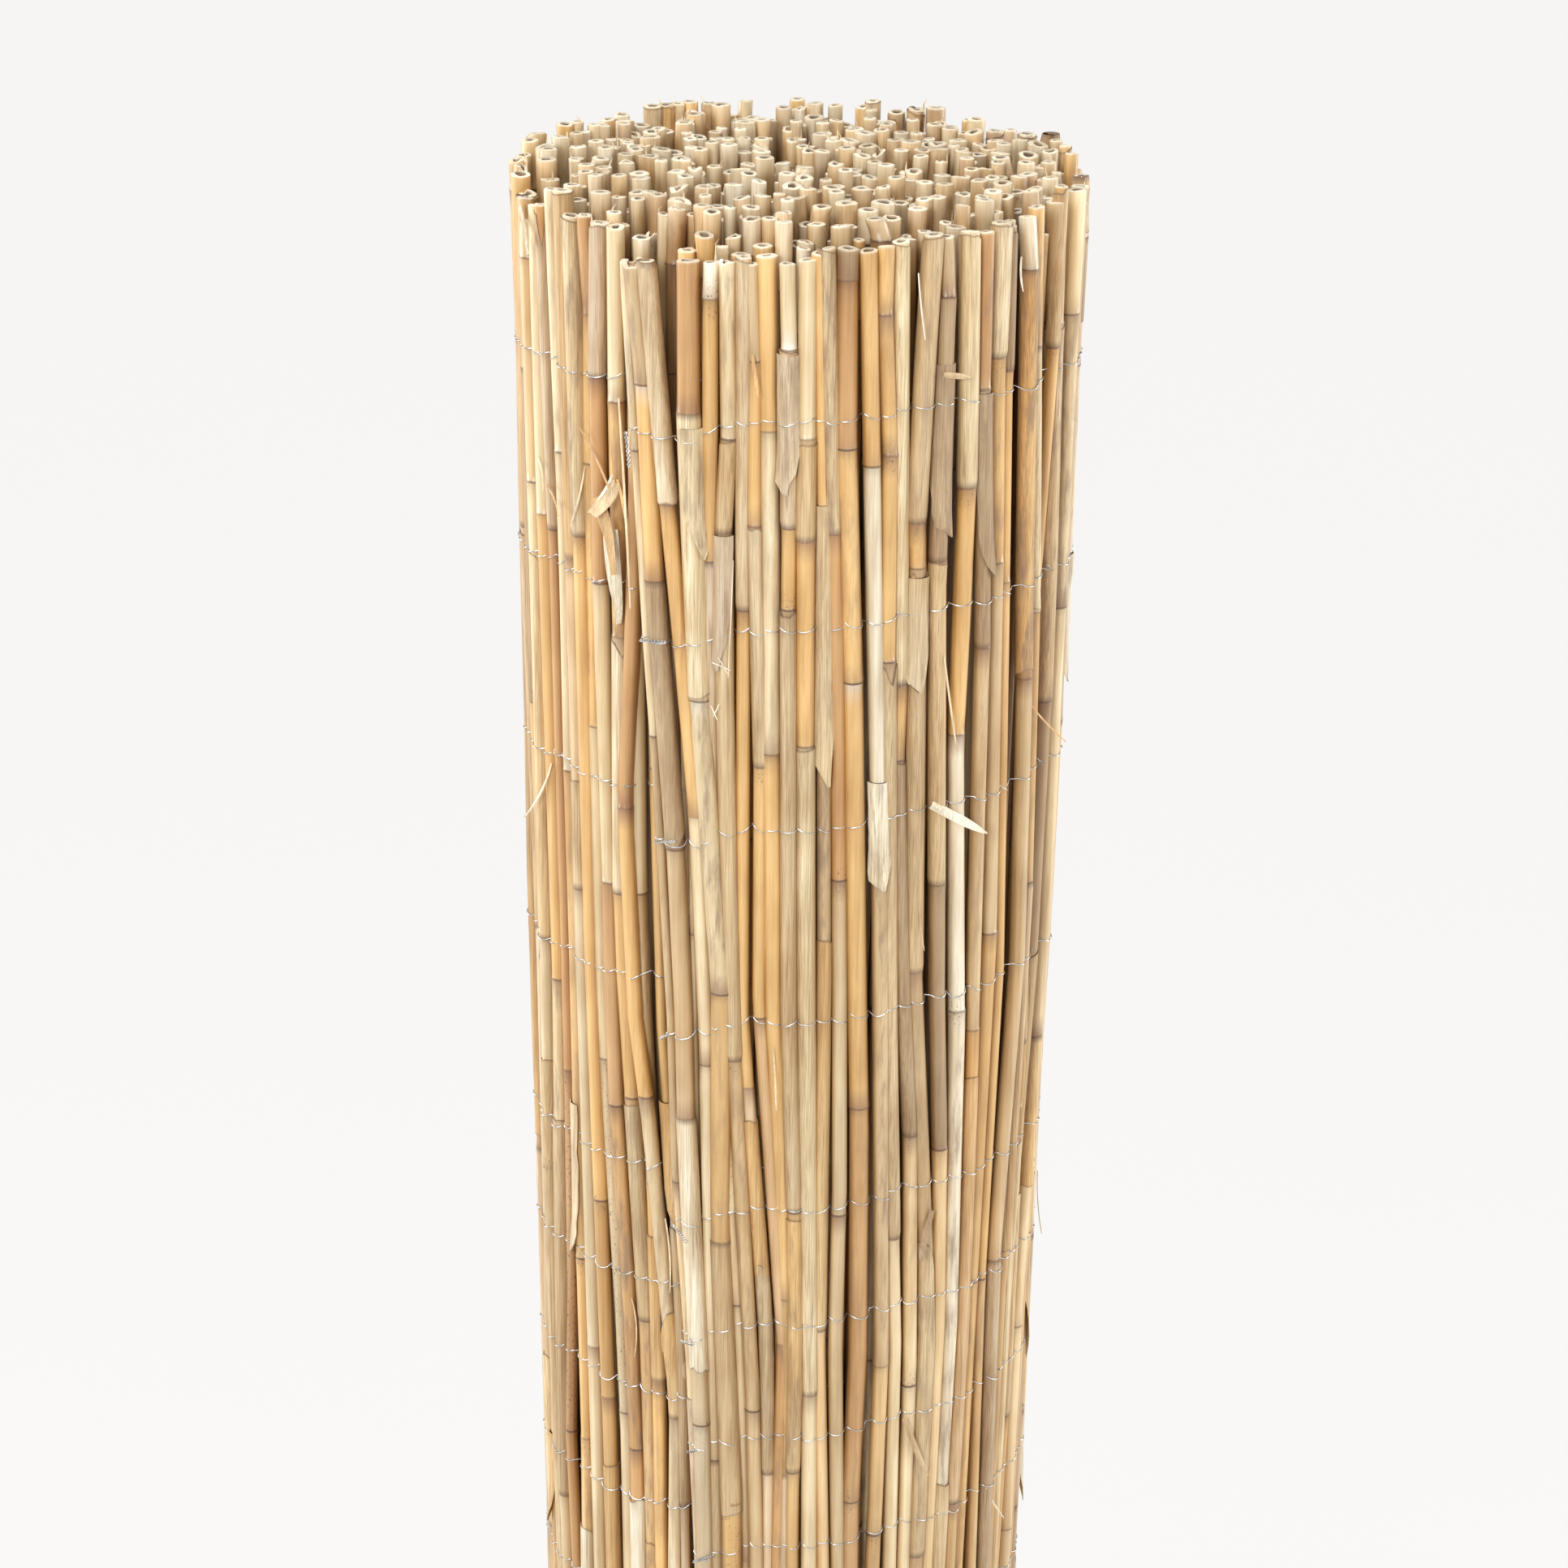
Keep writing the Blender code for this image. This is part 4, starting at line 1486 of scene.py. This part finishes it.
def lay_on_roll(piece: bpy.types.Object, plan: RollPlan, root: Array, way: float, lift: float,
                share: float = 1.0) -> None:
    """Put a piece that was modelled standing on the origin, facing +X, on the roll's surface.

    Args:
        piece: The active piece.
        plan: The roll.
        root: Where its foot goes.
        way: Its direction in degrees, 0 along the mat and 90 up.
        lift: How far outward its foot is moved.
        share: Its length as a share of the modelled one.
    """
    out = Vector((root[0] - plan.shift[0], root[1] - plan.shift[1], 0.0)).normalized()
    along = Vector((-out.y, out.x, 0.0))
    ahead = along * math.cos(math.radians(way)) + Vector((0, 0, 1)) * math.sin(math.radians(way))
    turn = Matrix((out, ahead.cross(out), ahead)).transposed().to_4x4()
    piece.matrix_world = (Matrix.Translation(Vector(root) + out * lift) @ turn
                          @ Matrix.Diagonal((1.0, 1.0, share, 1.0)))
    bpy.ops.object.transform_apply(location=True, rotation=True, scale=True)


@dataclass(frozen=True)
class StrawBit:
    """One loose bit of straw: where it starts and ends, in turns and height, and its shape."""

    start: Pair
    end: Pair
    width: float
    tone: str = "S"
    lift: float = 0.0045
    curl: float = 12.0
    twist: float = 0.0
    tip: float = 0.25
    foot: float = 0.7
    light: float = 1.0


@dataclass
class LooseStraw:
    """Torn sheath, splinters and whiskers that stand off the outer turn."""

    plan: RollPlan
    columns: int = 2
    rows: int = 9
    thickness: float = 0.00022
    cup: float = 0.22
    scatter_count: int = 34
    scatter_widths: Row = (0.0007, 0.0009, 0.0012, 0.0016)
    scatter_heights: Pair = (0.05, 1.45)
    scatter_reach: float = 0.010
    scatter_drop: Pair = (0.010, 0.034)
    scatter_lift: float = 0.0042
    scatter_curl: Pair = (6.0, 40.0)
    scatter_twist: Pair = (-30.0, 30.0)
    scatter_tip: float = 0.3
    straw_marks: Row = (0.9, 0.0, 0.0, 0.3)
    seed: int = 53
    named: tuple[StrawBit, ...] = (
        StrawBit((0.949, 1.404), (0.9765, 1.383), 0.0013, "O", 0.007, 10.0, 0.0, 0.9),
        StrawBit((0.977, 1.385), (0.966, 1.369), 0.0078, "B", 0.0075, 50.0, 30.0, 0.9, 0.35),
        StrawBit((0.9625, 1.376), (0.9835, 1.347), 0.0104, "G", 0.0078, 16.0, 40.0, 0.04, 0.5, 0.8),
        StrawBit((0.9715, 1.364), (0.9745, 1.322), 0.0098, "C", 0.0070, -10.0, 20.0, 0.10, 0.8),
        StrawBit((0.977, 1.386), (0.9855, 1.371), 0.0017, "G", 0.0075, 20.0, 0.0, 0.4),
        StrawBit((0.975, 1.388), (0.9690, 1.377), 0.0012, "C", 0.0085, 30.0, 0.0, 0.6),
        StrawBit((-0.0126, 1.424), (-0.0040, 1.336), 0.0012, "S", 0.005, 2.0, 0.0, 0.5),
        StrawBit((0.160, 1.249), (0.192, 1.234), 0.0042, "C", 0.005, 38.0, -25.0, 0.06, 0.8, 1.05),
        StrawBit((0.235, 1.281), (0.266, 1.257), 0.0009, "G", 0.005, 18.0, 0.0, 0.5),
        StrawBit((0.158, 1.4365), (0.174, 1.434), 0.0026, "B", 0.006, 14.0, 15.0, 0.15),
        StrawBit((0.171, 1.057), (0.159, 1.0355), 0.0034, "Y", 0.005, 20.0, 20.0, 0.3),
        StrawBit((0.156, 0.957), (0.169, 0.928), 0.0030, "B", 0.005, 24.0, -20.0, 0.2),
        StrawBit((0.0395, 1.3165), (0.0500, 1.3140), 0.0006, "C", 0.0065, 8.0, 0.0, 0.6),
        StrawBit((0.0500, 1.3610), (0.0480, 1.3110), 0.0005, "C", 0.0055, 3.0, 0.0, 0.6),
        StrawBit((0.0425, 1.3190), (0.0480, 1.3125), 0.0005, "C", 0.0065, 10.0, 0.0, 0.6),
        StrawBit((0.0385, 1.2975), (0.0425, 1.2915), 0.0005, "C", 0.0060, 12.0, 0.0, 0.6),
        StrawBit((0.0430, 1.2985), (0.0400, 1.2930), 0.0005, "C", 0.0060, 12.0, 0.0, 0.6),
        StrawBit((0.1643, 1.3153), (0.1730, 1.2721), 0.0010, "S", 0.0060, 4.0, 0.0, 0.4),
        StrawBit((0.142, 1.480), (0.145, 1.453), 0.0007, "C", 0.006, 12.0, 0.0, 0.6),
        StrawBit((0.911, 1.372), (0.935, 1.3635), 0.0012, "G", 0.005, 22.0, 0.0, 0.4),
        StrawBit((0.881, 1.487), (0.904, 1.470), 0.0040, "P", 0.005, 6.0, 10.0, 0.3),
        StrawBit((0.2055, 1.480), (0.203, 1.466), 0.0012, "C", 0.007, 26.0, 0.0, 0.4))

    def model(self, bit: StrawBit, length: float) -> bpy.types.Object:
        """Model a cupped, tapered strip that stands on the origin and faces +X.

        Args:
            bit: Its shape.
            length: Its length.

        Returns:
            The strip.
        """
        bpy.ops.object.select_all(action="DESELECT")
        bpy.ops.mesh.primitive_grid_add(x_subdivisions=self.columns, y_subdivisions=self.rows,
                                        size=1.0, location=(0.0, 0.0, 0.5),
                                        rotation=(math.pi / 2, 0.0, math.pi / 2))
        strip = bpy.context.object
        bpy.ops.object.transform_apply(location=True, rotation=True, scale=True)
        corners = strip.data.vertices
        middle = [point.index for point in corners if abs(point.co.y) < 0.1]
        levels = sorted({round(point.co.z, 4) for point in corners})
        self.move(strip, middle, "translate", (self.cup * bit.width, 0.0, 0.0))
        for level in levels:
            row = [point.index for point in corners if abs(point.co.z - level) < 0.01]
            swell = math.sin(math.pi * level) ** 0.6 if 0.0 < level < 1.0 else 0.0
            end = bit.foot if level < 0.5 else bit.tip
            self.move(strip, row, "resize", (1.0, end + (1.0 - end) * swell, 1.0))
        self.move(strip, range(len(corners)), "resize", (1.0, bit.width, length))
        wall = strip.modifiers.new("wall", "SOLIDIFY")
        wall.thickness = self.thickness
        bpy.ops.object.modifier_apply(modifier=wall.name)
        deform(strip, "TWIST", "Z", bit.twist)
        deform(strip, "BEND", "Y", bit.curl)
        return strip

    def move(self, strip: bpy.types.Object, chosen: list[int] | range, way: str,
             value: Triple) -> None:
        """Move or resize some of a strip's points about the origin, in edit mode.

        Args:
            strip: The strip.
            chosen: The points.
            way: translate or resize.
            value: How far, or by how much.
        """
        bpy.ops.object.mode_set(mode="EDIT")
        bpy.ops.mesh.select_all(action="DESELECT")
        bpy.ops.object.mode_set(mode="OBJECT")
        for index in chosen:
            strip.data.vertices[index].select = True
        bpy.ops.object.mode_set(mode="EDIT")
        if way == "translate":
            bpy.ops.transform.translate(value=value)
        else:
            bpy.ops.transform.resize(value=value, center_override=(0.0, 0.0, 0.0))
        bpy.ops.object.mode_set(mode="OBJECT")

    def scattered(self) -> list[StrawBit]:
        """Small splinters and whiskers spread round the whole outer turn."""
        dice = np.random.default_rng(self.seed)
        bits = []
        for number in range(self.scatter_count):
            turns = 0.01 + 0.98 * (number + dice.random()) / self.scatter_count
            height = dice.uniform(*self.scatter_heights)
            reach = dice.normal(0.0, self.scatter_reach)
            drop = dice.uniform(*self.scatter_drop)
            bits.append(StrawBit((turns, height), (turns + reach, height - drop),
                                 dice.choice(self.scatter_widths), dice.choice(list("SGBC")),
                                 self.scatter_lift, dice.uniform(*self.scatter_curl),
                                 dice.uniform(*self.scatter_twist), self.scatter_tip))
        return bits

    def build(self, material: Material) -> None:
        """Model every bit, lay it on the roll and join them into one piece.

        Args:
            material: The reed finish.
        """
        strips = []
        for bit in self.named + tuple(self.scattered()):
            turns, heights = zip(bit.start, bit.end)
            ends = self.plan.place(np.array(turns), np.zeros(2), np.array(heights))
            reach = (turns[1] - turns[0]) * TAU * float(self.plan.spiral_radius(0.0))
            reach *= float(self.plan.waist_scale(heights[0]))
            way = math.degrees(math.atan2(heights[1] - heights[0], reach))
            strip = self.model(bit, math.hypot(heights[1] - heights[0], reach))
            lay_on_roll(strip, self.plan, ends[0], way, bit.lift)
            count = len(strip.data.vertices)
            write_values(strip.data, "tone", np.tile(light(bit.tone) * bit.light, (count, 1)))
            write_values(strip.data, "marks", np.tile(self.straw_marks, (count, 1)))
            strips.append(strip)
        bpy.ops.object.select_all(action="DESELECT")
        for strip in strips:
            strip.select_set(True)
        bpy.context.view_layer.objects.active = strips[0]
        bpy.ops.object.join()
        piece = strips[0]
        piece.name = piece.data.name = "loose_straw"
        piece.data.materials.append(material)
        bpy.ops.object.shade_smooth_by_angle(angle=math.radians(50.0))
        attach(piece, BODY)
        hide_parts("reed_turn_01")
        report(piece)


class NodeGraph:
    """A short way to add and join shader nodes."""

    def __init__(self, name: str) -> None:
        """Start a material with a Principled shader.

        Args:
            name: The material's name.
        """
        self.material = bpy.data.materials.new(name)
        self.material.use_nodes = True
        self.tree = self.material.node_tree
        self.shader = self.tree.nodes["Principled BSDF"]

    def add(self, kind: str, **values: object) -> bpy.types.Node:
        """Add a node.

        Args:
            kind: The node's type, without ShaderNode.
            **values: Its properties, and its inputs by number as i0, i1 and so on.

        Returns:
            The node.
        """
        node = self.tree.nodes.new("ShaderNode" + kind)
        for key, value in values.items():
            if key[0] == "i" and key[1:].isdigit():
                self.feed(node, int(key[1:]), value)
            else:
                setattr(node, key, value)
        return node

    def feed(self, node: bpy.types.Node, slot: int | str, value: object) -> None:
        """Join a socket to an input, or set the input's own value.

        Args:
            node: The node.
            slot: The input's number or name.
            value: A socket, or a value.
        """
        if isinstance(value, Socket):
            self.tree.links.new(value, node.inputs[slot])
        else:
            node.inputs[slot].default_value = value

    def math(self, operation: str, first: object, second: object = 0.0) -> Socket:
        """Add a Math node and give its result."""
        return self.add("Math", operation=operation, i0=first, i1=second).outputs[0]

    def ramp(self, value: Socket, low: float, high: float, start: float = 0.0,
             end: float = 1.0) -> Socket:
        """Map a value from one range to another, held at both ends."""
        return self.add("MapRange", i0=value, i1=low, i2=high, i3=start, i4=end).outputs[0]

    def mix(self, share: object, first: object, second: object, blend: str = "MIX") -> Socket:
        """Mix two colours."""
        node = self.add("Mix", data_type="RGBA", blend_type=blend, i0=share, i6=first, i7=second)
        return node.outputs[2]

    def grain(self, scale: Triple, detail: float = 3.0, rough: float = 0.55) -> Socket:
        """Add noise on the piece's own coordinates.

        Args:
            scale: How often it repeats in a metre along each axis.
            detail: The noise's detail.
            rough: Its roughness.

        Returns:
            The noise.
        """
        where = self.add("TexCoord").outputs["Object"]
        placed = self.add("Mapping", i0=where, i3=scale).outputs[0]
        noise = self.add("TexNoise")
        self.fill(noise, Vector=placed, Scale=1.0, Detail=detail, Roughness=rough)
        return noise.outputs["Fac"]

    def fill(self, node: bpy.types.Node, **values: object) -> Material:
        """Feed a node's inputs, named with underscores for spaces, and give the material."""
        for name, value in values.items():
            self.feed(node, name.replace("_", " "), value)
        return self.material


@dataclass(frozen=True)
class ReedFinish:
    """Dry reed: each stretch has its own tone, with fine lengthwise grain, mottling and specks.

    Grains are repeats a metre across and along the reed. Ramps hold a range of noise and the range
    it is mapped to.
    """

    name: str = "dry_reed"
    stem_roughness: float = 0.36
    sheath_roughness: float = 0.66
    cut_roughness: float = 0.8
    specular: float = 0.70
    coat: float = 0.32
    coat_roughness: float = 0.36
    grain_depth: float = 0.00022
    grain_strength: float = 0.55
    fibre: Pair = (0.62, 0.35)
    broad_grain: Row = (420.0, 420.0, 7.0)
    fine_grain: Row = (2300.0, 2300.0, 34.0)
    cloud_grain: Row = (55.0, 55.0, 22.0)
    warm_grain: Row = (90.0, 90.0, 9.0)
    blotch_grain: Row = (260.0, 260.0, 42.0)
    crack_grain: Row = (1300.0, 1300.0, 24.0)
    dot_grain: Row = (1150.0, 1150.0, 760.0)
    streak_ramp: Row = (0.32, 0.68, -0.32, 0.17)
    band_ramp: Row = (0.30, 0.70, -0.17, 0.12)
    drift_ramp: Row = (0.30, 0.70, -0.22, 0.11)
    warm_ramp: Row = (0.45, 0.75, 0.0, 0.16)
    blotch_ramp: Row = (0.47, 0.66, 0.0, 0.72)
    crack_ramp: Row = (0.56, 0.68, 0.0, 0.50)
    dot_ramp: Row = (0.615, 0.67)
    rough_ramp: Row = (0.3, 0.7, -0.05, 0.08)
    shade_powers: Pair = (0.74, 1.38)
    warm_tone: Row = (0.66, 0.36, 0.13, 1.0)
    blotch_tone: Row = (0.235, 0.140, 0.080, 1.0)
    crack_tone: Row = (0.20, 0.115, 0.055, 1.0)
    dot_tone: Row = (0.085, 0.045, 0.025, 1.0)

    def material(self) -> Material:
        """Build the material from the tone and marks attributes.

        Returns:
            The material.
        """
        graph = NodeGraph(self.name)
        tone = graph.add("Attribute", attribute_name="tone").outputs["Color"]
        marks = graph.add("Attribute", attribute_name="marks").outputs["Color"]
        sheath, specks, cut = graph.add("SeparateColor", i0=marks).outputs[:3]
        stain = marks.node.outputs["Alpha"]
        broad = graph.grain(self.broad_grain, 3.0)
        fine = graph.grain(self.fine_grain, 3.0, 0.6)
        cloud = graph.grain(self.cloud_grain, 2.0)
        fibre = graph.math("MULTIPLY_ADD", sheath, self.fibre[0])
        graph.feed(fibre.node, 2, self.fibre[1])
        streak = graph.math("MULTIPLY", graph.ramp(fine, *self.streak_ramp), fibre)
        band = graph.math("ADD", streak, graph.ramp(broad, *self.band_ramp))
        total = graph.math("ADD", band, graph.ramp(cloud, *self.drift_ramp))
        level = graph.math("ADD", total, 1.0)
        red, blue = (graph.math("POWER", level, power) for power in self.shade_powers)
        shade = graph.add("CombineColor", i0=red, i1=level, i2=blue).outputs[0]
        colour = graph.mix(1.0, tone, shade, "MULTIPLY")
        warmth = graph.ramp(graph.grain(self.warm_grain, 2.0), *self.warm_ramp)
        colour = graph.mix(warmth, colour, self.warm_tone, "SOFT_LIGHT")
        blotch = graph.ramp(graph.grain(self.blotch_grain, 4.0, 0.62), *self.blotch_ramp)
        crack = graph.ramp(graph.grain(self.crack_grain, 4.0, 0.62), *self.crack_ramp)
        dots = graph.ramp(graph.grain(self.dot_grain, 2.0), *self.dot_ramp)
        for amount, where, spot in ((blotch, stain, self.blotch_tone),
                                    (crack, sheath, self.crack_tone),
                                    (dots, specks, self.dot_tone)):
            colour = graph.mix(graph.math("MULTIPLY", amount, where), colour, spot)
        rough = graph.ramp(sheath, 0.0, 1.0, self.stem_roughness, self.sheath_roughness)
        rough = graph.math("ADD", rough, graph.ramp(fine, *self.rough_ramp))
        rough = graph.math("MAXIMUM", rough, graph.math("MULTIPLY", cut, self.cut_roughness))
        relief = graph.math("ADD", graph.math("MULTIPLY", fine, fibre), broad)
        bump = graph.add("Bump")
        graph.fill(bump, Height=relief, Distance=self.grain_depth, Strength=self.grain_strength)
        return graph.fill(graph.shader, Base_Color=colour, Roughness=rough, Normal=bump.outputs[0],
                          Specular_IOR_Level=self.specular, Coat_Weight=self.coat,
                          Coat_Roughness=self.coat_roughness)


@dataclass(frozen=True)
class WireFinish:
    """Galvanised wire: bright zinc with faint dull patches."""

    name: str = "galvanised_wire"
    roughness: float = 0.34
    patch_grain: Row = (260.0, 260.0, 260.0)
    bright_tone: Row = (0.80, 0.80, 0.78, 1.0)
    dull_tone: Row = (0.46, 0.455, 0.44, 1.0)

    def material(self) -> Material:
        """Build the material.

        Returns:
            The material.
        """
        graph = NodeGraph(self.name)
        patch = graph.grain(self.patch_grain, 3.0)
        colour = graph.mix(graph.ramp(patch, 0.38, 0.66), self.bright_tone, self.dull_tone)
        rough = graph.ramp(patch, 0.3, 0.7, self.roughness - 0.08, self.roughness + 0.14)
        return graph.fill(graph.shader, Base_Color=colour, Roughness=rough, Metallic=1.0)


@dataclass(frozen=True)
class FloorFinish:
    """Plain pale floor that stays light under soft lamps."""

    name: str = "pale_floor"
    glow: float = 0.963
    glow_tone: Row = (0.942, 0.933, 0.917, 1.0)
    cloud_grain: Row = (1.1, 1.1, 1.1)
    dark_tone: Row = (0.046, 0.0455, 0.045, 1.0)
    pale_tone: Row = (0.050, 0.0495, 0.049, 1.0)

    def material(self) -> Material:
        """Build the material.

        Returns:
            The material.
        """
        graph = NodeGraph(self.name)
        share = graph.ramp(graph.grain(self.cloud_grain, 2.0), 0.2, 0.8)
        return graph.fill(graph.shader, Base_Color=graph.mix(share, self.dark_tone, self.pale_tone),
                          Roughness=0.9, Specular_IOR_Level=0.0, Emission_Color=self.glow_tone,
                          Emission_Strength=self.glow)


@dataclass
class Studio:
    """Pale floor, soft lamps, white surroundings and the camera at the photograph's angle."""

    image_size: int = 1932
    focal_pixels: float = 5500.0
    camera_distance: float = 1.8533
    camera_height: float = 1.9157
    pitch: float = math.radians(20.63)
    yaw: float = math.radians(-0.12)
    roll: float = math.radians(0.67)
    floor_size: float = 60.0
    surround: float = 0.29
    surround_tone: Row = (1.0, 0.970, 0.915, 1.0)
    seen_tone: Row = (0.939, 0.930, 0.913, 1.0)
    middle: Triple = (0.0, 0.0, 0.95)

    def floor(self) -> None:
        """Lay the floor: a wide disc, extruded downward to give it thickness."""
        bpy.ops.object.select_all(action="DESELECT")
        bpy.ops.mesh.primitive_circle_add(vertices=64, radius=self.floor_size / 2,
                                          fill_type="NGON", location=(0.0, 0.0, 0.0))
        floor = bpy.context.object
        floor.name = "studio_floor"
        bpy.ops.object.mode_set(mode="EDIT")
        bpy.ops.mesh.select_all(action="SELECT")
        bpy.ops.mesh.extrude_region_move(TRANSFORM_OT_translate={"value": (0.0, 0.0, -0.05)})
        bpy.ops.mesh.select_all(action="SELECT")
        bpy.ops.mesh.normals_make_consistent(inside=False)
        bpy.ops.object.mode_set(mode="OBJECT")
        floor.data.materials.append(FloorFinish().material())

    def lamp(self, name: str, place: Triple, aim: Triple, size: float, watts: float,
             colour: Triple) -> None:
        """Add one soft square lamp.

        Args:
            name: The lamp's name.
            place: Where it stands.
            aim: The point it faces.
            size: Its side.
            watts: Its power.
            colour: Its colour.
        """
        data = bpy.data.lights.new(name, "AREA")
        data.shape = "SQUARE"
        data.size = size
        data.energy = watts
        data.color = colour
        lamp = bpy.data.objects.new(name, data)
        lamp.location = place
        lamp.rotation_euler = (Vector(aim) - Vector(place)).to_track_quat("-Z", "Y").to_euler()
        bpy.context.scene.collection.objects.link(lamp)

    def lamps(self) -> None:
        """Set the surroundings and the lamps."""
        world = bpy.data.worlds.new("white_room")
        world.use_nodes = True
        nodes, links = world.node_tree.nodes, world.node_tree.links
        around = nodes["Background"]
        around.inputs["Color"].default_value = self.surround_tone
        around.inputs["Strength"].default_value = self.surround
        behind = nodes.new("ShaderNodeBackground")
        behind.inputs["Color"].default_value = self.seen_tone
        seen = nodes.new("ShaderNodeMixShader")
        links.new(nodes.new("ShaderNodeLightPath").outputs["Is Camera Ray"], seen.inputs[0])
        links.new(around.outputs[0], seen.inputs[1])
        links.new(behind.outputs[0], seen.inputs[2])
        links.new(seen.outputs[0], nodes["World Output"].inputs["Surface"])
        bpy.context.scene.world = world
        rim_tone = (1.0, 0.995, 0.99)
        self.lamp("key_lamp", (-0.9, -2.9, 2.5), self.middle, 0.8, 47.0, (0.96, 1.0, 1.05))
        self.lamp("fill_lamp", (1.9, -2.6, 2.0), self.middle, 1.2, 20.0, (0.98, 1.0, 1.04))
        self.lamp("left_rim_lamp", (-2.4, 0.6, 1.6), self.middle, 1.2, 40.0, rim_tone)
        self.lamp("right_rim_lamp", (2.4, 0.6, 1.6), self.middle, 1.2, 38.0, rim_tone)
        self.lamp("top_lamp", (-0.4, -0.6, 3.4), (0.0, 0.0, 1.5), 1.0, 43.0, (0.94, 1.0, 1.10))

    def camera(self) -> None:
        """Stand the camera where the photograph was taken from."""
        data = bpy.data.cameras.new("photo_camera")
        data.sensor_fit = "HORIZONTAL"
        data.sensor_width = 36.0
        data.lens = self.focal_pixels / self.image_size * data.sensor_width
        data.clip_end = 100.0
        ahead = Vector((math.sin(self.yaw) * math.cos(self.pitch),
                        math.cos(self.yaw) * math.cos(self.pitch), -math.sin(self.pitch)))
        right = Vector((math.cos(self.yaw), -math.sin(self.yaw), 0.0))
        over = right.cross(ahead)
        leaned = right * math.cos(self.roll) + over * math.sin(self.roll)
        over = over * math.cos(self.roll) - right * math.sin(self.roll)
        turn = Matrix((leaned, over, -ahead)).transposed()
        camera = bpy.data.objects.new("photo_camera", data)
        camera.matrix_world = (Matrix.Translation((0.0, -self.camera_distance, self.camera_height))
                               @ turn.to_4x4())
        bpy.context.scene.collection.objects.link(camera)
        bpy.context.scene.camera = camera

    def build(self) -> None:
        """Set up floor, lamps, camera and plain tone mapping."""
        self.floor()
        self.lamps()
        self.camera()
        bpy.context.scene.view_settings.view_transform = "Standard"
        log.info("studio: floor, lamps and camera")


def main() -> None:
    """Build every sub-assembly in order."""
    logging.basicConfig(level=logging.INFO, format="%(name)s %(message)s")
    plan = RollPlan()
    reeds = plan.lay_reeds()
    stalks = Stalks(plan)
    reed_material = ReedFinish().material()
    wire_material = WireFinish().material()
    outer_lines = OuterTurn(plan, stalks).build(reeds, reed_material)
    under_lines = InnerTurns(plan, stalks).build(reeds, reed_material)
    wires = WireRows(plan)
    roots = wires.build(outer_lines + under_lines[:wires.under_count], wire_material)
    WireTies(plan).build(roots, wire_material)
    LooseStraw(plan).build(reed_material)
    Studio().build()


if __name__ == "__main__":
    main()
